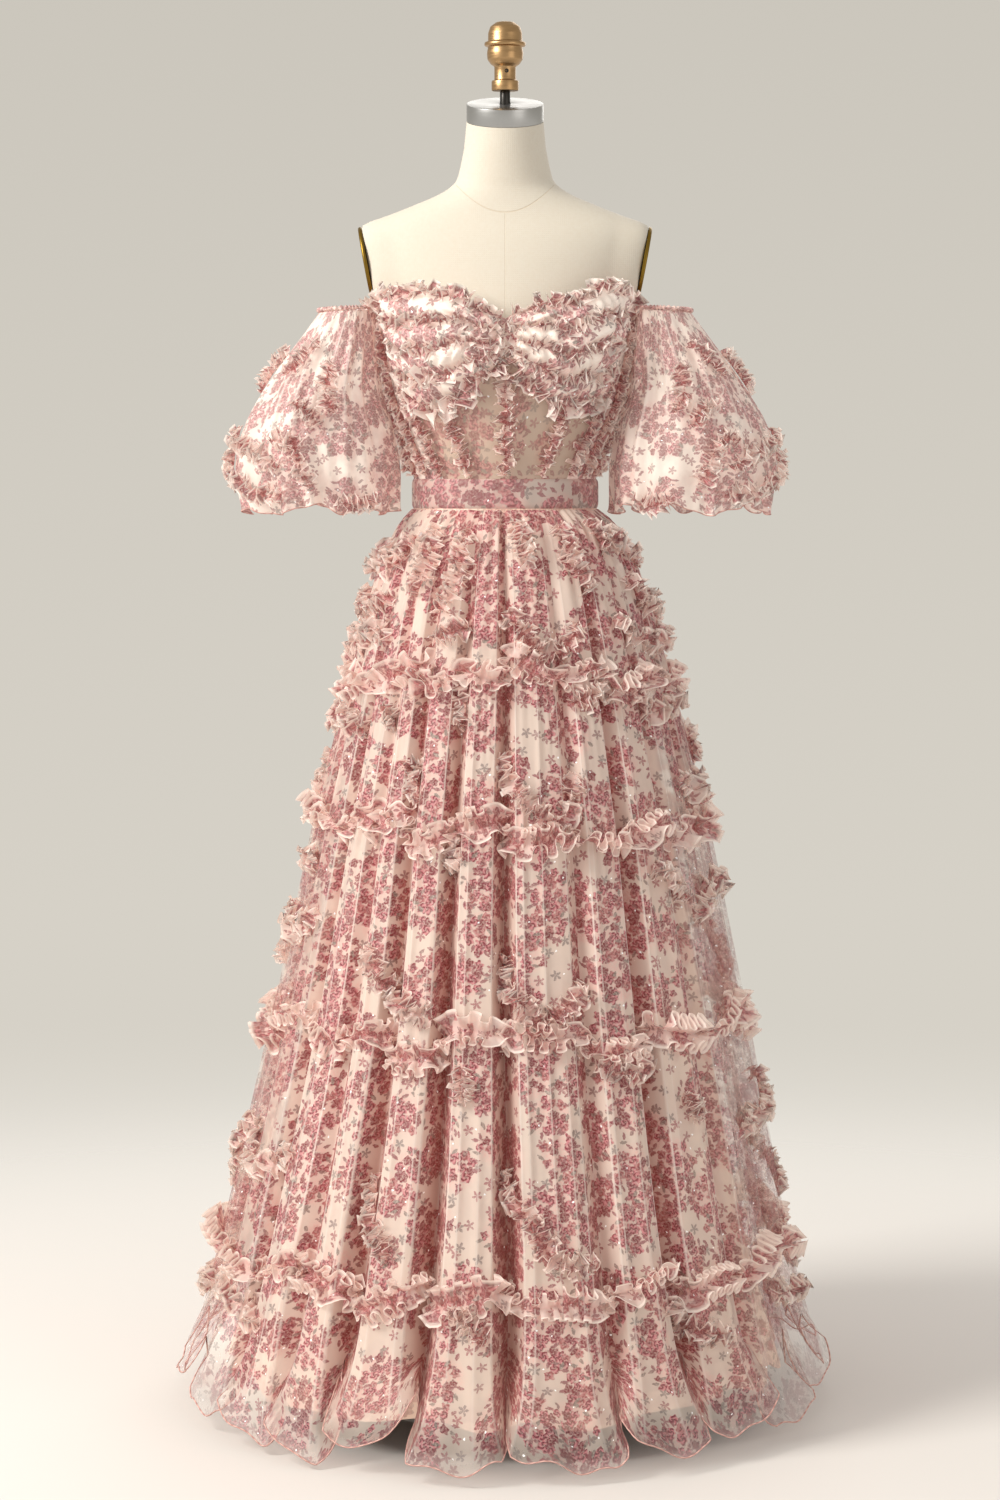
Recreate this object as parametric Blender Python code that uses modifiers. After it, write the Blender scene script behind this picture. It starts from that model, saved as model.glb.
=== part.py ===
"""Off-the-shoulder prom dress of sheer gathered organza, worn by a limbless dress form on its stand.

Metres, +Z up. The front of the dress faces -Y and the wearer's left is +X. The origin is the middle
of the stand's underside, on the floor. An angle round the dress is 0 at the centre front, +90 degrees
at the wearer's left side and 180 at the centre back.
"""

from collections import namedtuple
from math import cos, pi, radians, sin

import bmesh
import bpy
import numpy as np
from mathutils import Matrix, Vector

# Cloth, in metres
CLOTH = 0.0012  # wall of one layer
BAND_WALL = 0.002  # wall of the waistband
BAND_SEAM = 0.0008  # its seams, which close up towards the inside of the curve
FRILL_WALL = 0.001
SEAM = 0.0005  # between two pieces sewn edge to edge
LIFT = 0.0008  # a frill's stitched edge above its panel

# Heights above the floor
HEM = 0.012
LINING_HEM = 0.030
WAIST_LOW = 1.138
WAIST_HIGH = 1.176
BODICE_LOW = 1.158  # the bodice's lower edge, inside the waistband
LINING_TOP = 1.148

# Each section of a form that closes round the Z axis: how far it reaches to each side
Section = namedtuple("Section", "z right left front back")

BODICE = [
    Section(BODICE_LOW, 0.1146, 0.1146, 0.0871, 0.0821),
    Section(WAIST_HIGH, 0.1146, 0.1146, 0.0871, 0.0821),
    Section(1.220, 0.1250, 0.1250, 0.0940, 0.0870),
    Section(1.270, 0.1420, 0.1420, 0.1020, 0.0940),
    Section(1.320, 0.1535, 0.1535, 0.1085, 0.0985),
    Section(1.394, 0.1640, 0.1640, 0.1030, 0.0980),
    Section(1.420, 0.1700, 0.1700, 0.0985, 0.0960),
]
WAISTBAND = Section(WAIST_LOW, 0.1175, 0.1175, 0.0900, 0.0850)
SKIRT = [
    Section(HEM, 0.418, 0.412, 0.446, 0.450),
    Section(0.206, 0.366, 0.364, 0.396, 0.402),
    Section(0.493, 0.293, 0.305, 0.302, 0.320),
    Section(0.745, 0.240, 0.254, 0.240, 0.252),
    Section(0.930, 0.196, 0.210, 0.188, 0.195),
    Section(1.050, 0.166, 0.174, 0.148, 0.152),
    Section(1.112, 0.142, 0.151, 0.118, 0.118),
    Section(WAIST_LOW - SEAM, 0.1180, 0.1180, 0.0905, 0.0855),
]
PLEAT_DEPTH = {"z": (HEM, 0.206, 0.493, 0.745, 0.930, 1.050, 1.112, WAIST_LOW),
               "depth": (0.047, 0.041, 0.033, 0.026, 0.018, 0.012, 0.008, 0.002)}
LINING = [
    Section(LINING_HEM, 0.354, 0.352, 0.385, 0.390),
    Section(0.206, 0.305, 0.305, 0.335, 0.342),
    Section(0.745, 0.205, 0.207, 0.205, 0.215),
    Section(1.050, 0.146, 0.148, 0.128, 0.130),
    Section(1.134, 0.1137, 0.1137, 0.0862, 0.0812),
    Section(LINING_TOP, 0.1145, 0.1145, 0.0870, 0.0820),
]
TORSO = [
    Section(0.900, 0.146, 0.146, 0.102, 0.108),
    Section(0.955, 0.152, 0.152, 0.108, 0.113),
    Section(1.020, 0.143, 0.143, 0.101, 0.104),
    Section(1.080, 0.126, 0.126, 0.089, 0.089),
    Section(1.138, 0.1075, 0.1075, 0.0830, 0.0765),
    Section(1.176, 0.1110, 0.1110, 0.0852, 0.0775),
    Section(1.220, 0.1195, 0.1195, 0.0900, 0.0810),
    Section(1.270, 0.135, 0.135, 0.0970, 0.0880),
    Section(1.315, 0.144, 0.144, 0.102, 0.092),
    Section(1.350, 0.148, 0.148, 0.100, 0.092),
    Section(1.394, 0.155, 0.155, 0.090, 0.091),
    Section(1.430, 0.168, 0.168, 0.080, 0.088),
    Section(1.460, 0.178, 0.178, 0.072, 0.081),
    Section(1.484, 0.184, 0.184, 0.064, 0.073),
    Section(1.497, 0.176, 0.176, 0.058, 0.067),
    Section(1.510, 0.142, 0.142, 0.054, 0.062),
    Section(1.526, 0.102, 0.102, 0.051, 0.057),
    Section(1.542, 0.064, 0.064, 0.050, 0.052),
    Section(1.560, 0.058, 0.058, 0.049, 0.050),
    Section(1.592, 0.0515, 0.0515, 0.0485, 0.0490),
]

# The skirt's folds: where each valley lies and its share of the depth. The side seams and the
# centre-back seam each lie in a valley.
Fold = namedtuple("Fold", "angle share")
FOLDS = [
    Fold(-180, 0.6), Fold(-162, 0.8), Fold(-143, 0.7), Fold(-125, 0.9), Fold(-108, 0.8),
    Fold(-89, 0.6), Fold(-72, 0.8), Fold(-56, 0.7), Fold(-42, 0.9), Fold(-30, 0.8),
    Fold(-15.5, 0.8), Fold(0, 1.0), Fold(19.7, 0.75), Fold(35, 0.8), Fold(52, 0.95),
    Fold(69, 0.7), Fold(86, 0.6), Fold(105, 0.8), Fold(122, 0.7), Fold(141, 0.9),
    Fold(160, 0.7), Fold(180, 0.6),
]
VALLEY_HALF = 3.2  # degrees from a valley's line to its pleat's edge
SIDE_SEAMS = (-89, 86)

# Rows of gathered frill that run level round the skirt, and the waved garlands between them
FRILL_ROWS = (0.930, 0.745, 0.493, 0.206)
FRILL_ABOVE = 0.012
FRILL_BELOW = 0.016
FRILL_STANDS = 0.009  # how far a frill's free edge stands out
VALLEY_FOLLOW = 0.35  # share of a valley that a frill follows
Garland = namedtuple("Garland", "z swing waves phase")
GARLANDS = [
    Garland(1.003, 0.030, 11, 0.13),
    Garland(0.818, 0.043, 10, 0.17),
    Garland(0.575, 0.052, 11, 0.24),
    Garland(0.293, 0.057, 9, 0.20),
    Garland(0.143, 0.022, 8, 0.65),
]
GARLAND_HALF = 0.015

# Bodice seams, as angles at the waist, under the bust and at the top edge
SeamRun = namedtuple("SeamRun", "waist bust top")
PRINCESS = SeamRun(20, 32, 32)
SIDE_FRONT = SeamRun(39, 57, 66)
SIDE_BACK = SeamRun(96, 106, 112)
BUST_LINE = 1.270
TOP_EDGE = {"angle": (0, 14, 30, 44, 62, 90, 135, 180),
            "z": (1.375, 1.394, 1.412, 1.4175, 1.408, 1.394, 1.386, 1.380)}
CUP_FOOT = {"angle": (0, 11, 21.5, 32, 42, 57),
            "z": (1.329, 1.298, 1.2734, 1.266, 1.264, 1.270)}
CUP_FULLNESS = 0.026
CUP_COLUMNS, CUP_ROWS = 7, 6
CUP_FRILL_ROWS = (2, 4, 6)  # rows of the cup's grid that each carry a frill
CUP_FRILL_LIFT = 0.0015  # clears the cup's curve between the points where they touch
CUP_FRILL_DROP = 0.15  # share of the cup's height that a frill hangs down
CUP_FRILL_ENDS = 0.06  # share of the cup's width left clear at each end of a frill

# Frills that run down a bodice seam: its run (None is the centre front), foot and head
SeamFrill = namedtuple("SeamFrill", "run foot head")
CENTRE_FRILL = SeamFrill(None, 1.180, 1.312)
PRINCESS_FRILL = SeamFrill(PRINCESS, 1.180, 1.252)
SIDE_FRILL = SeamFrill(SIDE_FRONT, 1.180, 1.300)
SEAM_FRILL_HALF = 0.011
SEAM_FRILL_STANDS = 0.0072

# Puff sleeve: each ring's middle and half sizes, for the wearer's left
Ring = namedtuple("Ring", "z middle half_width half_depth gather")
SLEEVE = [
    Ring(1.138, 0.2350, 0.0960, 0.086, 0.004),
    Ring(1.165, 0.2372, 0.1040, 0.094, 0.005),
    Ring(1.205, 0.2392, 0.1040, 0.098, 0.005),
    Ring(1.245, 0.2375, 0.0945, 0.094, 0.004),
    Ring(1.290, 0.2310, 0.0735, 0.086, 0.003),
    Ring(1.330, 0.2165, 0.0590, 0.074, 0.002),
    Ring(1.3870, 0.1998, 0.0362, 0.050, 0.0),
]
SLEEVE_SLOPE = 0.05  # the sleeve's top edge falls by this much for each metre outwards
SLEEVE_COLUMNS = 16
SLEEVE_BAND_HEIGHT = 0.006
CUFF_FRILL = {"z": (1.228, 1.197), "stands": (0.0, 0.024)}
SLEEVE_FRILL = {"z": 1.262, "swing": 0.018, "waves": 3}
SLEEVE_FRILL_HALF = 0.011
SLEEVE_FRILL_STANDS = 0.0072

# Dress form and stand
NECK_TILT = radians(14.6)  # the neck's top face leans forward
NECK_TOP = Vector((0, -0.012, 1.625))
NECK_RADIUS = 0.0485
CAP_HEIGHT = 0.022
POST_RADIUS = 0.0065
POST_FOOT = 1.638
POST_TOP = 1.6627
GAP = 0.0003
PLATE_MIDDLE = Vector((0.1735, 0.004, 1.449))
PLATE_LEAN = radians(10.4)
PLATE_HALF_HEIGHT = 0.046
PLATE_HALF_DEPTH = 0.039
PLATE_PROFILE = {"radius": (0.0, 0.80, 0.86, 0.90, 0.97, 1.00, 1.00, 0.0),  # shares of the half depth
                 "height": (0.0030, 0.0026, 0.0026, 0.0050, 0.0050, 0.0034, 0.0, 0.0)}
FINIAL_PROFILE = {
    "radius": (0.0, 0.0110, 0.0185, 0.0213, 0.0215, 0.0255, 0.0262, 0.0255, 0.0215, 0.0228,
               0.0222, 0.0180, 0.0135, 0.0135, 0.0170, 0.0170, 0.0),
    "z": (1.7500, 1.7485, 1.7430, 1.7350, 1.7245, 1.7235, 1.7210, 1.7185, 1.7175, 1.7100,
          1.7020, 1.6960, 1.6930, 1.6765, 1.6755, POST_TOP + GAP, POST_TOP + GAP)}
SET_SCREW = {"radius": 0.0025, "x": 0.002, "z": 1.687, "from_axis": (0.010, 0.030)}
POLE_RADIUS = 0.016
BASE_RADIUS = 0.210
BASE_HEIGHT = 0.014
POLE_TOP = 0.900 - GAP

# Centre-back zip
CHAIN_HALF_WIDTH = 0.003
CHAIN_WALL = 0.0016
SLIDER_SIZE = Vector((0.007, 0.0035, 0.011))
SLIDER_FOOT = 1.360
PULL_LENGTH = 0.021
PIN_RADIUS = 0.0006
EYE_RADIUS = 0.00095
BARREL_RADIUS = 0.0015

Finish = namedtuple("Finish", "colour roughness metallic")
ORGANZA = Finish((0.78, 0.52, 0.47), 0.75, 0.0)
FRILL = Finish((0.88, 0.68, 0.60), 0.75, 0.0)
LINING_CLOTH = Finish((0.80, 0.60, 0.50), 0.6, 0.0)
FORM_CLOTH = Finish((0.86, 0.78, 0.65), 0.85, 0.0)
GOLD = Finish((0.48, 0.30, 0.13), 0.35, 1.0)
STEEL = Finish((0.52, 0.52, 0.52), 0.35, 1.0)
DARK_STEEL = Finish((0.06, 0.055, 0.05), 0.4, 1.0)
STAND_PAINT = Finish((0.70, 0.68, 0.64), 0.5, 0.0)

SIDES = (("left", 1), ("right", -1))


# ---------------------------------------------------------------- scene and objects


def clear_scene():
    for obj in list(bpy.data.objects):
        bpy.data.objects.remove(obj, do_unlink=True)


def collection(name):
    made = bpy.data.collections.new(name)
    bpy.context.scene.collection.children.link(made)
    return made


def surface_finish(obj, finish):
    material = bpy.data.materials.new(obj.name + "_finish")
    material.use_nodes = True
    shader = material.node_tree.nodes["Principled BSDF"]
    shader.inputs["Base Color"].default_value = (*finish.colour, 1)
    shader.inputs["Roughness"].default_value = finish.roughness
    shader.inputs["Metallic"].default_value = finish.metallic
    obj.data.materials.append(material)


def object_of(name, bm, finish, smooth=False):
    mesh = bpy.data.meshes.new(name)
    bm.to_mesh(mesh)
    bm.free()
    if smooth:
        mesh.shade_smooth()
    obj = bpy.data.objects.new(name, mesh)
    DRESS.objects.link(obj)
    surface_finish(obj, finish)
    return obj


def helper_of(name, bm):
    """A cutter, or a shape that a union takes in: not a piece itself."""
    mesh = bpy.data.meshes.new(name)
    bm.to_mesh(mesh)
    bm.free()
    obj = bpy.data.objects.new(name, mesh)
    obj.hide_render = True
    obj.display_type = "WIRE"
    HELPERS.objects.link(obj)
    return obj


def combine(obj, other, operation):
    modifier = obj.modifiers.new(operation.title(), "BOOLEAN")
    modifier.operation = operation
    modifier.object = other
    modifier.solver = "EXACT"


def thicken(obj, wall, outwards):
    modifier = obj.modifiers.new("Wall", "SOLIDIFY")
    modifier.thickness = wall
    modifier.offset = 1 if outwards else -1
    modifier.use_even_offset = True
    modifier.use_quality_normals = True


def grid(columns, rows, point, wrap=False):
    """A grid of quads whose corner at (column, row) is point(column, row)."""
    bm = bmesh.new()
    bmesh.ops.create_grid(bm, x_segments=columns, y_segments=rows, size=0.5)
    for vertex in bm.verts:
        column = round((vertex.co.x + 0.5) * columns)
        row = round((vertex.co.y + 0.5) * rows)
        vertex.co = point(column % columns if wrap else column, row)
    if wrap:
        bmesh.ops.remove_doubles(bm, verts=bm.verts, dist=1e-6)
    return bm


def cloth(name, columns, rows, point, finish=ORGANZA, wall=CLOTH, outwards=False, wrap=False):
    """A shell of cloth: columns run anticlockwise seen from above, rows run up."""
    obj = object_of(name, grid(columns, rows, point, wrap), finish, smooth=True)
    thicken(obj, wall, outwards)
    return obj


def box(middle, size):
    bm = bmesh.new()
    bmesh.ops.create_cube(bm, size=1, matrix=Matrix.Translation(middle) @ Matrix.Diagonal((*size, 1)))
    return bm


def cylinder(radius, start, end, segments):
    bm = bmesh.new()
    axis = end - start
    turn = Vector((0, 0, 1)).rotation_difference(axis).to_matrix().to_4x4()
    bmesh.ops.create_cone(
        bm, cap_ends=True, segments=segments, radius1=radius, radius2=radius, depth=axis.length,
        matrix=Matrix.Translation((start + end) / 2) @ turn,
    )
    return bm


def turned(name, profile, finish, steps=32):
    """A solid turned about Z: profile lists (radius, z) from top to bottom, on the axis at both ends."""
    bm = bmesh.new()
    corners = [bm.verts.new((radius, 0, z)) for radius, z in profile]
    for upper, lower in zip(corners, corners[1:]):
        bm.edges.new((upper, lower))
    obj = object_of(name, bm, finish)
    screw = obj.modifiers.new("Turn", "SCREW")
    screw.steps = screw.render_steps = steps
    screw.use_merge_vertices = True
    screw.merge_threshold = 1e-5
    return obj


# ---------------------------------------------------------------- shapes that pieces share


def section_at(table, z):
    """The section of a table at any height, between its rows in a straight line."""
    rows = sorted(table)
    heights = [row.z for row in rows]
    return Section(z, *(np.interp(z, heights, [row[k] for row in rows]) for k in range(1, 5)))


def around(section, angle):
    """The point of a section at an angle in degrees."""
    turn = radians(angle)
    width = section.left if sin(turn) > 0 else section.right
    depth = section.front if cos(turn) > 0 else section.back
    return Vector((width * sin(turn), -depth * cos(turn), section.z))


def moved_out(point, distance):
    """The point moved level, away from the Z axis."""
    return point + Vector((point.x, point.y, 0)).normalized() * distance


def moved_along(point, angle, distance):
    """The point moved level round the dress, towards greater angles."""
    return point + Vector((cos(radians(angle)), sin(radians(angle)), 0)) * distance


def between(table, key, value):
    return float(np.interp(value, table[key], table["z"]))


# ---------------------------------------------------------------- bodice


def seam_angle(run, z):
    """The angle at which a bodice seam passes a height."""
    return float(np.interp(z, (BODICE_LOW, BUST_LINE, TOP_EDGE["z"][3]), run))


def bodice_point(angle, z):
    return around(section_at(BODICE, z), angle)


def midriff_panel(name, side, inner, outer, columns=3):
    """A corset panel under a cup, from seam to seam; a seam of None is the centre front."""
    levels = (BODICE_LOW, WAIST_HIGH, 1.220)

    def point(column, row):
        share = column / columns if side > 0 else 1 - column / columns

        def angle_at(z):
            first = seam_angle(inner, z) if inner else 0
            return first + (seam_angle(outer, z) - first) * share

        z = levels[row] if row < len(levels) else None
        if z is None:
            z = between(CUP_FOOT, "angle", angle_at(BUST_LINE)) - SEAM
        angle = angle_at(min(z, BUST_LINE))
        at = bodice_point(side * angle, z)
        inset = {0: SEAM / 2, 1: -SEAM / 2}.get(share, 0)
        return moved_along(at, side * angle, side * inset)

    return cloth(name, columns, len(levels), point)


def side_panel(name, side, inner, outer, columns):
    """A panel from the waist to the top edge; a seam of None is the centre back."""
    levels = (BODICE_LOW, WAIST_HIGH, 1.220, BUST_LINE, 1.320)

    def point(column, row):
        share = column / columns if side > 0 else 1 - column / columns

        def angle_at(z):
            last = seam_angle(outer, z) if outer else 180
            return seam_angle(inner, z) + (last - seam_angle(inner, z)) * share

        z = levels[row] if row < len(levels) else between(TOP_EDGE, "angle", angle_at(1.394))
        angle = angle_at(z)
        at = bodice_point(side * angle, z)
        inset = {0: SEAM / 2, 1: -SEAM / 2}.get(share, 0)
        return moved_along(at, side * angle, side * inset)

    return cloth(name, columns, len(levels), point)


def cup_point(side, across, up, out=0.0):
    """A point of a cup: across is 0 at the centre front and 1 at its outer seam, up is 0 at its foot."""
    z = BUST_LINE
    for _ in range(5):
        angle = across * seam_angle(SIDE_FRONT, z)
        foot = between(CUP_FOOT, "angle", angle)
        z = foot + (between(TOP_EDGE, "angle", angle) - foot) * up
    fullness = CUP_FULLNESS * sin(pi * across) * sin(pi * up * 0.86)
    at = moved_out(bodice_point(side * angle, z), fullness + out)
    inset = {0: SEAM / 2, 1: -SEAM / 2}.get(across, 0)
    return moved_along(at, side * angle, side * inset)


def cup(name, side):
    def point(column, row):
        share = column / CUP_COLUMNS
        return cup_point(side, share if side > 0 else 1 - share, row / CUP_ROWS)

    return cloth(name, CUP_COLUMNS, CUP_ROWS, point)


def cup_frill(name, side, row):
    """A gathered strip across a cup, stitched along its upper edge."""
    columns = CUP_COLUMNS
    upper = row / CUP_ROWS
    lower = upper - CUP_FRILL_DROP

    def point(column, level):
        share = CUP_FRILL_ENDS + (1 - 2 * CUP_FRILL_ENDS) * column / columns
        across = share if side > 0 else 1 - share
        if level:
            return cup_point(side, across, upper, CUP_FRILL_LIFT)
        return cup_point(side, across, lower, FRILL_STANDS)

    return cloth(name, columns, 1, point, FRILL, FRILL_WALL, outwards=True)


def seam_frill(name, plan, side=1):
    """A strip stitched down its middle over a bodice seam, its two edges standing out."""
    rows = 4

    def point(column, row):
        z = plan.foot + (plan.head - plan.foot) * row / rows
        angle = side * seam_angle(plan.run, z) if plan.run else 0
        across = (column - 1) * SEAM_FRILL_HALF
        lift = LIFT if column == 1 else SEAM_FRILL_STANDS
        return moved_along(moved_out(bodice_point(angle, z), lift), angle, across)

    return cloth(name, 2, rows, point, FRILL, FRILL_WALL, outwards=True)


def bodice():
    for word, side in SIDES:
        cup("cup_" + word, side)
        midriff_panel("midriff_front_" + word, side, None, PRINCESS)
        midriff_panel("midriff_side_front_" + word, side, PRINCESS, SIDE_FRONT)
        side_panel("side_panel_" + word, side, SIDE_FRONT, SIDE_BACK, 4)
        side_panel("back_panel_" + word, side, SIDE_BACK, None, 5)
        for number, row in enumerate(CUP_FRILL_ROWS, 1):
            cup_frill(f"cup_frill_{word}_{number}", side, row)
        seam_frill("princess_frill_" + word, PRINCESS_FRILL, side)
        seam_frill("side_frill_" + word, SIDE_FRILL, side)
    seam_frill("centre_frill", CENTRE_FRILL)


def waistband(name, first, last, columns):
    """A stretch of the waistband between two seams, over the bodice's and the lining's edges."""
    height = WAIST_HIGH - WAIST_LOW

    def point(column, row):
        angle = first + (last - first) * column / columns
        at = around(WAISTBAND, angle) + Vector((0, 0, height * row))
        inset = {0: BAND_SEAM / 2, columns: -BAND_SEAM / 2}.get(column, 0)
        return moved_along(at, angle, inset)

    return cloth(name, columns, 1, point, wall=BAND_WALL)


# ---------------------------------------------------------------- skirt


def pleat_columns():
    """(angle, share of the valley's depth) of each column of cloth, once round the skirt."""
    columns = []
    for fold, following in zip(FOLDS, FOLDS[1:]):
        columns.append((fold.angle, fold.share))
        columns.append((fold.angle + VALLEY_HALF, 0.0))
        columns.append((following.angle - VALLEY_HALF, 0.0))
    return columns + [(FOLDS[-1].angle, FOLDS[-1].share)]


def skirt_point(angle, share, z):
    """A point of the pleated skirt, at a share of its valleys' depth."""
    depth = float(np.interp(z, PLEAT_DEPTH["z"], PLEAT_DEPTH["depth"]))
    return moved_out(around(section_at(SKIRT, z), angle), -depth * share)


def skirt_panel(name, first, last):
    """The pleated cloth from one seam's valley to another's."""
    columns = [column for column in pleat_columns() if first <= column[0] <= last]
    levels = [row.z for row in SKIRT]

    def point(column, row):
        angle, share = columns[column]
        at = skirt_point(angle, share, levels[row])
        inset = {0: SEAM / 2, len(columns) - 1: -SEAM / 2}.get(column, 0)
        return moved_along(at, angle, inset)

    return cloth(name, len(columns) - 1, len(levels) - 1, point)


def lining_panel(name, first, last, columns):
    levels = [row.z for row in LINING]

    def point(column, row):
        angle = first + (last - first) * column / columns
        inset = {0: SEAM / 2, columns: -SEAM / 2}.get(column, 0)
        return moved_along(around(LINING[row], angle), angle, inset)

    return cloth(name, columns, len(levels) - 1, point, LINING_CLOTH)


def frill_row(name, height):
    """A level strip right round the skirt, stitched along its upper edge."""
    columns = pleat_columns()[:-1]

    def point(column, row):
        angle, share = columns[column]
        z = height + (FRILL_ABOVE if row else -FRILL_BELOW)
        out = LIFT if row else FRILL_STANDS
        return moved_out(skirt_point(angle, share * VALLEY_FOLLOW, z), out)

    return cloth(name, len(columns), 1, point, FRILL, FRILL_WALL, outwards=True, wrap=True)


def wave(turns):
    """A triangle wave between -1 and 1."""
    return 4 * abs(turns % 1 - 0.5) - 1


def garland(name, plan):
    """A strip that rises and falls round the skirt from pleat to pleat."""
    columns = [column for column in pleat_columns() if column[1] == 0]

    def point(column, row):
        angle = columns[column][0]
        middle = plan.z + plan.swing * wave(plan.waves * angle / 360 + plan.phase)
        out = LIFT if row else FRILL_STANDS
        return moved_out(skirt_point(angle, 0, middle + GARLAND_HALF * (2 * row - 1)), out)

    return cloth(name, len(columns), 1, point, FRILL, FRILL_WALL, outwards=True, wrap=True)


def skirt():
    right_seam, left_seam = SIDE_SEAMS
    waistband("waistband_front", right_seam, left_seam, 16)
    waistband("waistband_back_left", left_seam, 180, 8)
    waistband("waistband_back_right", -180, right_seam, 8)
    skirt_panel("skirt_front", right_seam, left_seam)
    skirt_panel("skirt_back_left", left_seam, 180)
    skirt_panel("skirt_back_right", -180, right_seam)
    lining_panel("lining_front", right_seam, left_seam, 12)
    lining_panel("lining_back_left", left_seam, 180, 6)
    lining_panel("lining_back_right", -180, right_seam, 6)
    for number, height in enumerate(FRILL_ROWS, 1):
        frill_row(f"frill_row_{number}", height)
    for number, plan in enumerate(GARLANDS, 1):
        garland(f"garland_{number}", plan)


# ---------------------------------------------------------------- sleeves


def sleeve_ring(z):
    rows = SLEEVE
    heights = [row.z for row in rows]
    return Ring(z, *(float(np.interp(z, heights, [row[k] for row in rows])) for k in range(1, 5)))


def sleeve_point(side, turn, z, gather, out=0.0):
    """A point of a sleeve: turn is 0 on its outer side, in radians, anticlockwise from above."""
    ring = sleeve_ring(z)
    half_width = ring.half_width + out - ring.gather * gather
    half_depth = ring.half_depth + out - ring.gather * gather
    x = ring.middle + half_width * cos(turn)
    fall = SLEEVE_SLOPE * (x - ring.middle) if z > SLEEVE[-2].z else 0
    return Vector((side * x, half_depth * sin(turn), z - fall))


def sleeve_turn(side, column):
    """Columns run anticlockwise seen from above on both sleeves."""
    return side * 2 * pi * column / SLEEVE_COLUMNS


def sleeve(name, side):
    levels = [row.z for row in SLEEVE]

    def point(column, row):
        return sleeve_point(side, sleeve_turn(side, column), levels[row], column % 2)

    return cloth(name, SLEEVE_COLUMNS, len(levels) - 1, point, wrap=True)


def sleeve_band(name, side):
    """The elastic that holds the sleeve's upper edge."""
    top = SLEEVE[-1].z

    def point(column, row):
        at = sleeve_point(side, sleeve_turn(side, column), top, 0)
        return at + Vector((0, 0, SEAM + SLEEVE_BAND_HEIGHT * row))

    return cloth(name, SLEEVE_COLUMNS, 1, point, wall=CLOTH, wrap=True)


def cuff_frill(name, side):
    """The gathered strip round the sleeve's lower part, standing out at its free edge."""

    def point(column, row):
        turn = sleeve_turn(side, column)
        z = CUFF_FRILL["z"][1 - row]
        outer_side = (1 + cos(turn)) / 2
        out = LIFT + CUFF_FRILL["stands"][1 - row] * outer_side + (0 if row else 0.004)
        return sleeve_point(side, turn, z, 0, out)

    return cloth(name, SLEEVE_COLUMNS, 1, point, FRILL, FRILL_WALL, outwards=True, wrap=True)


def sleeve_frill(name, side):
    """A waved strip round the outer half of the sleeve."""
    plan = SLEEVE_FRILL
    columns = SLEEVE_COLUMNS // 2

    def point(column, row):
        turn = side * 2 * pi * (column - columns / 2) / SLEEVE_COLUMNS
        middle = plan["z"] + plan["swing"] * wave(plan["waves"] * column / columns)
        out = LIFT if row else SLEEVE_FRILL_STANDS
        return sleeve_point(side, turn, middle + SLEEVE_FRILL_HALF * (2 * row - 1), 0, out)

    return cloth(name, columns, 1, point, FRILL, FRILL_WALL, outwards=True)


def sleeves():
    for word, side in SIDES:
        sleeve("sleeve_" + word, side)
        sleeve_band("sleeve_band_" + word, side)
        cuff_frill("cuff_frill_" + word, side)
        sleeve_frill("sleeve_frill_" + word, side)


# ---------------------------------------------------------------- dress form and stand


def neck_plane(distance):
    """A matrix whose Z axis is the leaning neck's, this far above its top face."""
    lean = Matrix.Rotation(NECK_TILT, 4, "X")
    return Matrix.Translation(NECK_TOP) @ lean @ Matrix.Translation((0, 0, distance))


def torso():
    columns = 28

    def point(column, row):
        angle = 360 * column / columns
        if row < len(TORSO):
            section = TORSO[row]
            forward = min(0, (1.542 - section.z) * 0.16)
            return around(section, angle) + Vector((0, forward, 0))
        turn = radians(angle)
        rim = Vector((NECK_RADIUS * sin(turn), -NECK_RADIUS * cos(turn), 0))
        return neck_plane(0) @ rim

    bm = grid(columns, len(TORSO), point, wrap=True)
    bmesh.ops.holes_fill(bm, edges=[edge for edge in bm.edges if edge.is_boundary], sides=0)
    obj = object_of("form_torso", bm, FORM_CLOTH, smooth=True)
    for word, side in SIDES:
        seat = plate_matrix(side) @ Matrix.Translation((0, 0, 0.05 - GAP))
        cutter = bmesh.new()
        bmesh.ops.create_cube(
            cutter, size=1, matrix=seat @ Matrix.Diagonal((0.30, 0.30, 0.10, 1)))
        combine(obj, helper_of("arm_cutter_" + word, cutter), "DIFFERENCE")


def plate_matrix(side):
    """The arm plate's place: its Z axis points out of the form."""
    lean = Matrix.Rotation(side * (pi / 2 + PLATE_LEAN), 4, "Y")
    middle = Vector((side * PLATE_MIDDLE.x, PLATE_MIDDLE.y, PLATE_MIDDLE.z))
    return Matrix.Translation(middle) @ lean


def arm_plate(name, side):
    """A shallow oval dish with a raised rim, over the form's arm opening."""
    radii = [share * PLATE_HALF_DEPTH for share in PLATE_PROFILE["radius"]]
    obj = turned(name, zip(radii, PLATE_PROFILE["height"]), DARK_STEEL, 28)
    stretch = Matrix.Diagonal((PLATE_HALF_HEIGHT / PLATE_HALF_DEPTH, 1, 1, 1))
    obj.matrix_world = plate_matrix(side) @ stretch


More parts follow.
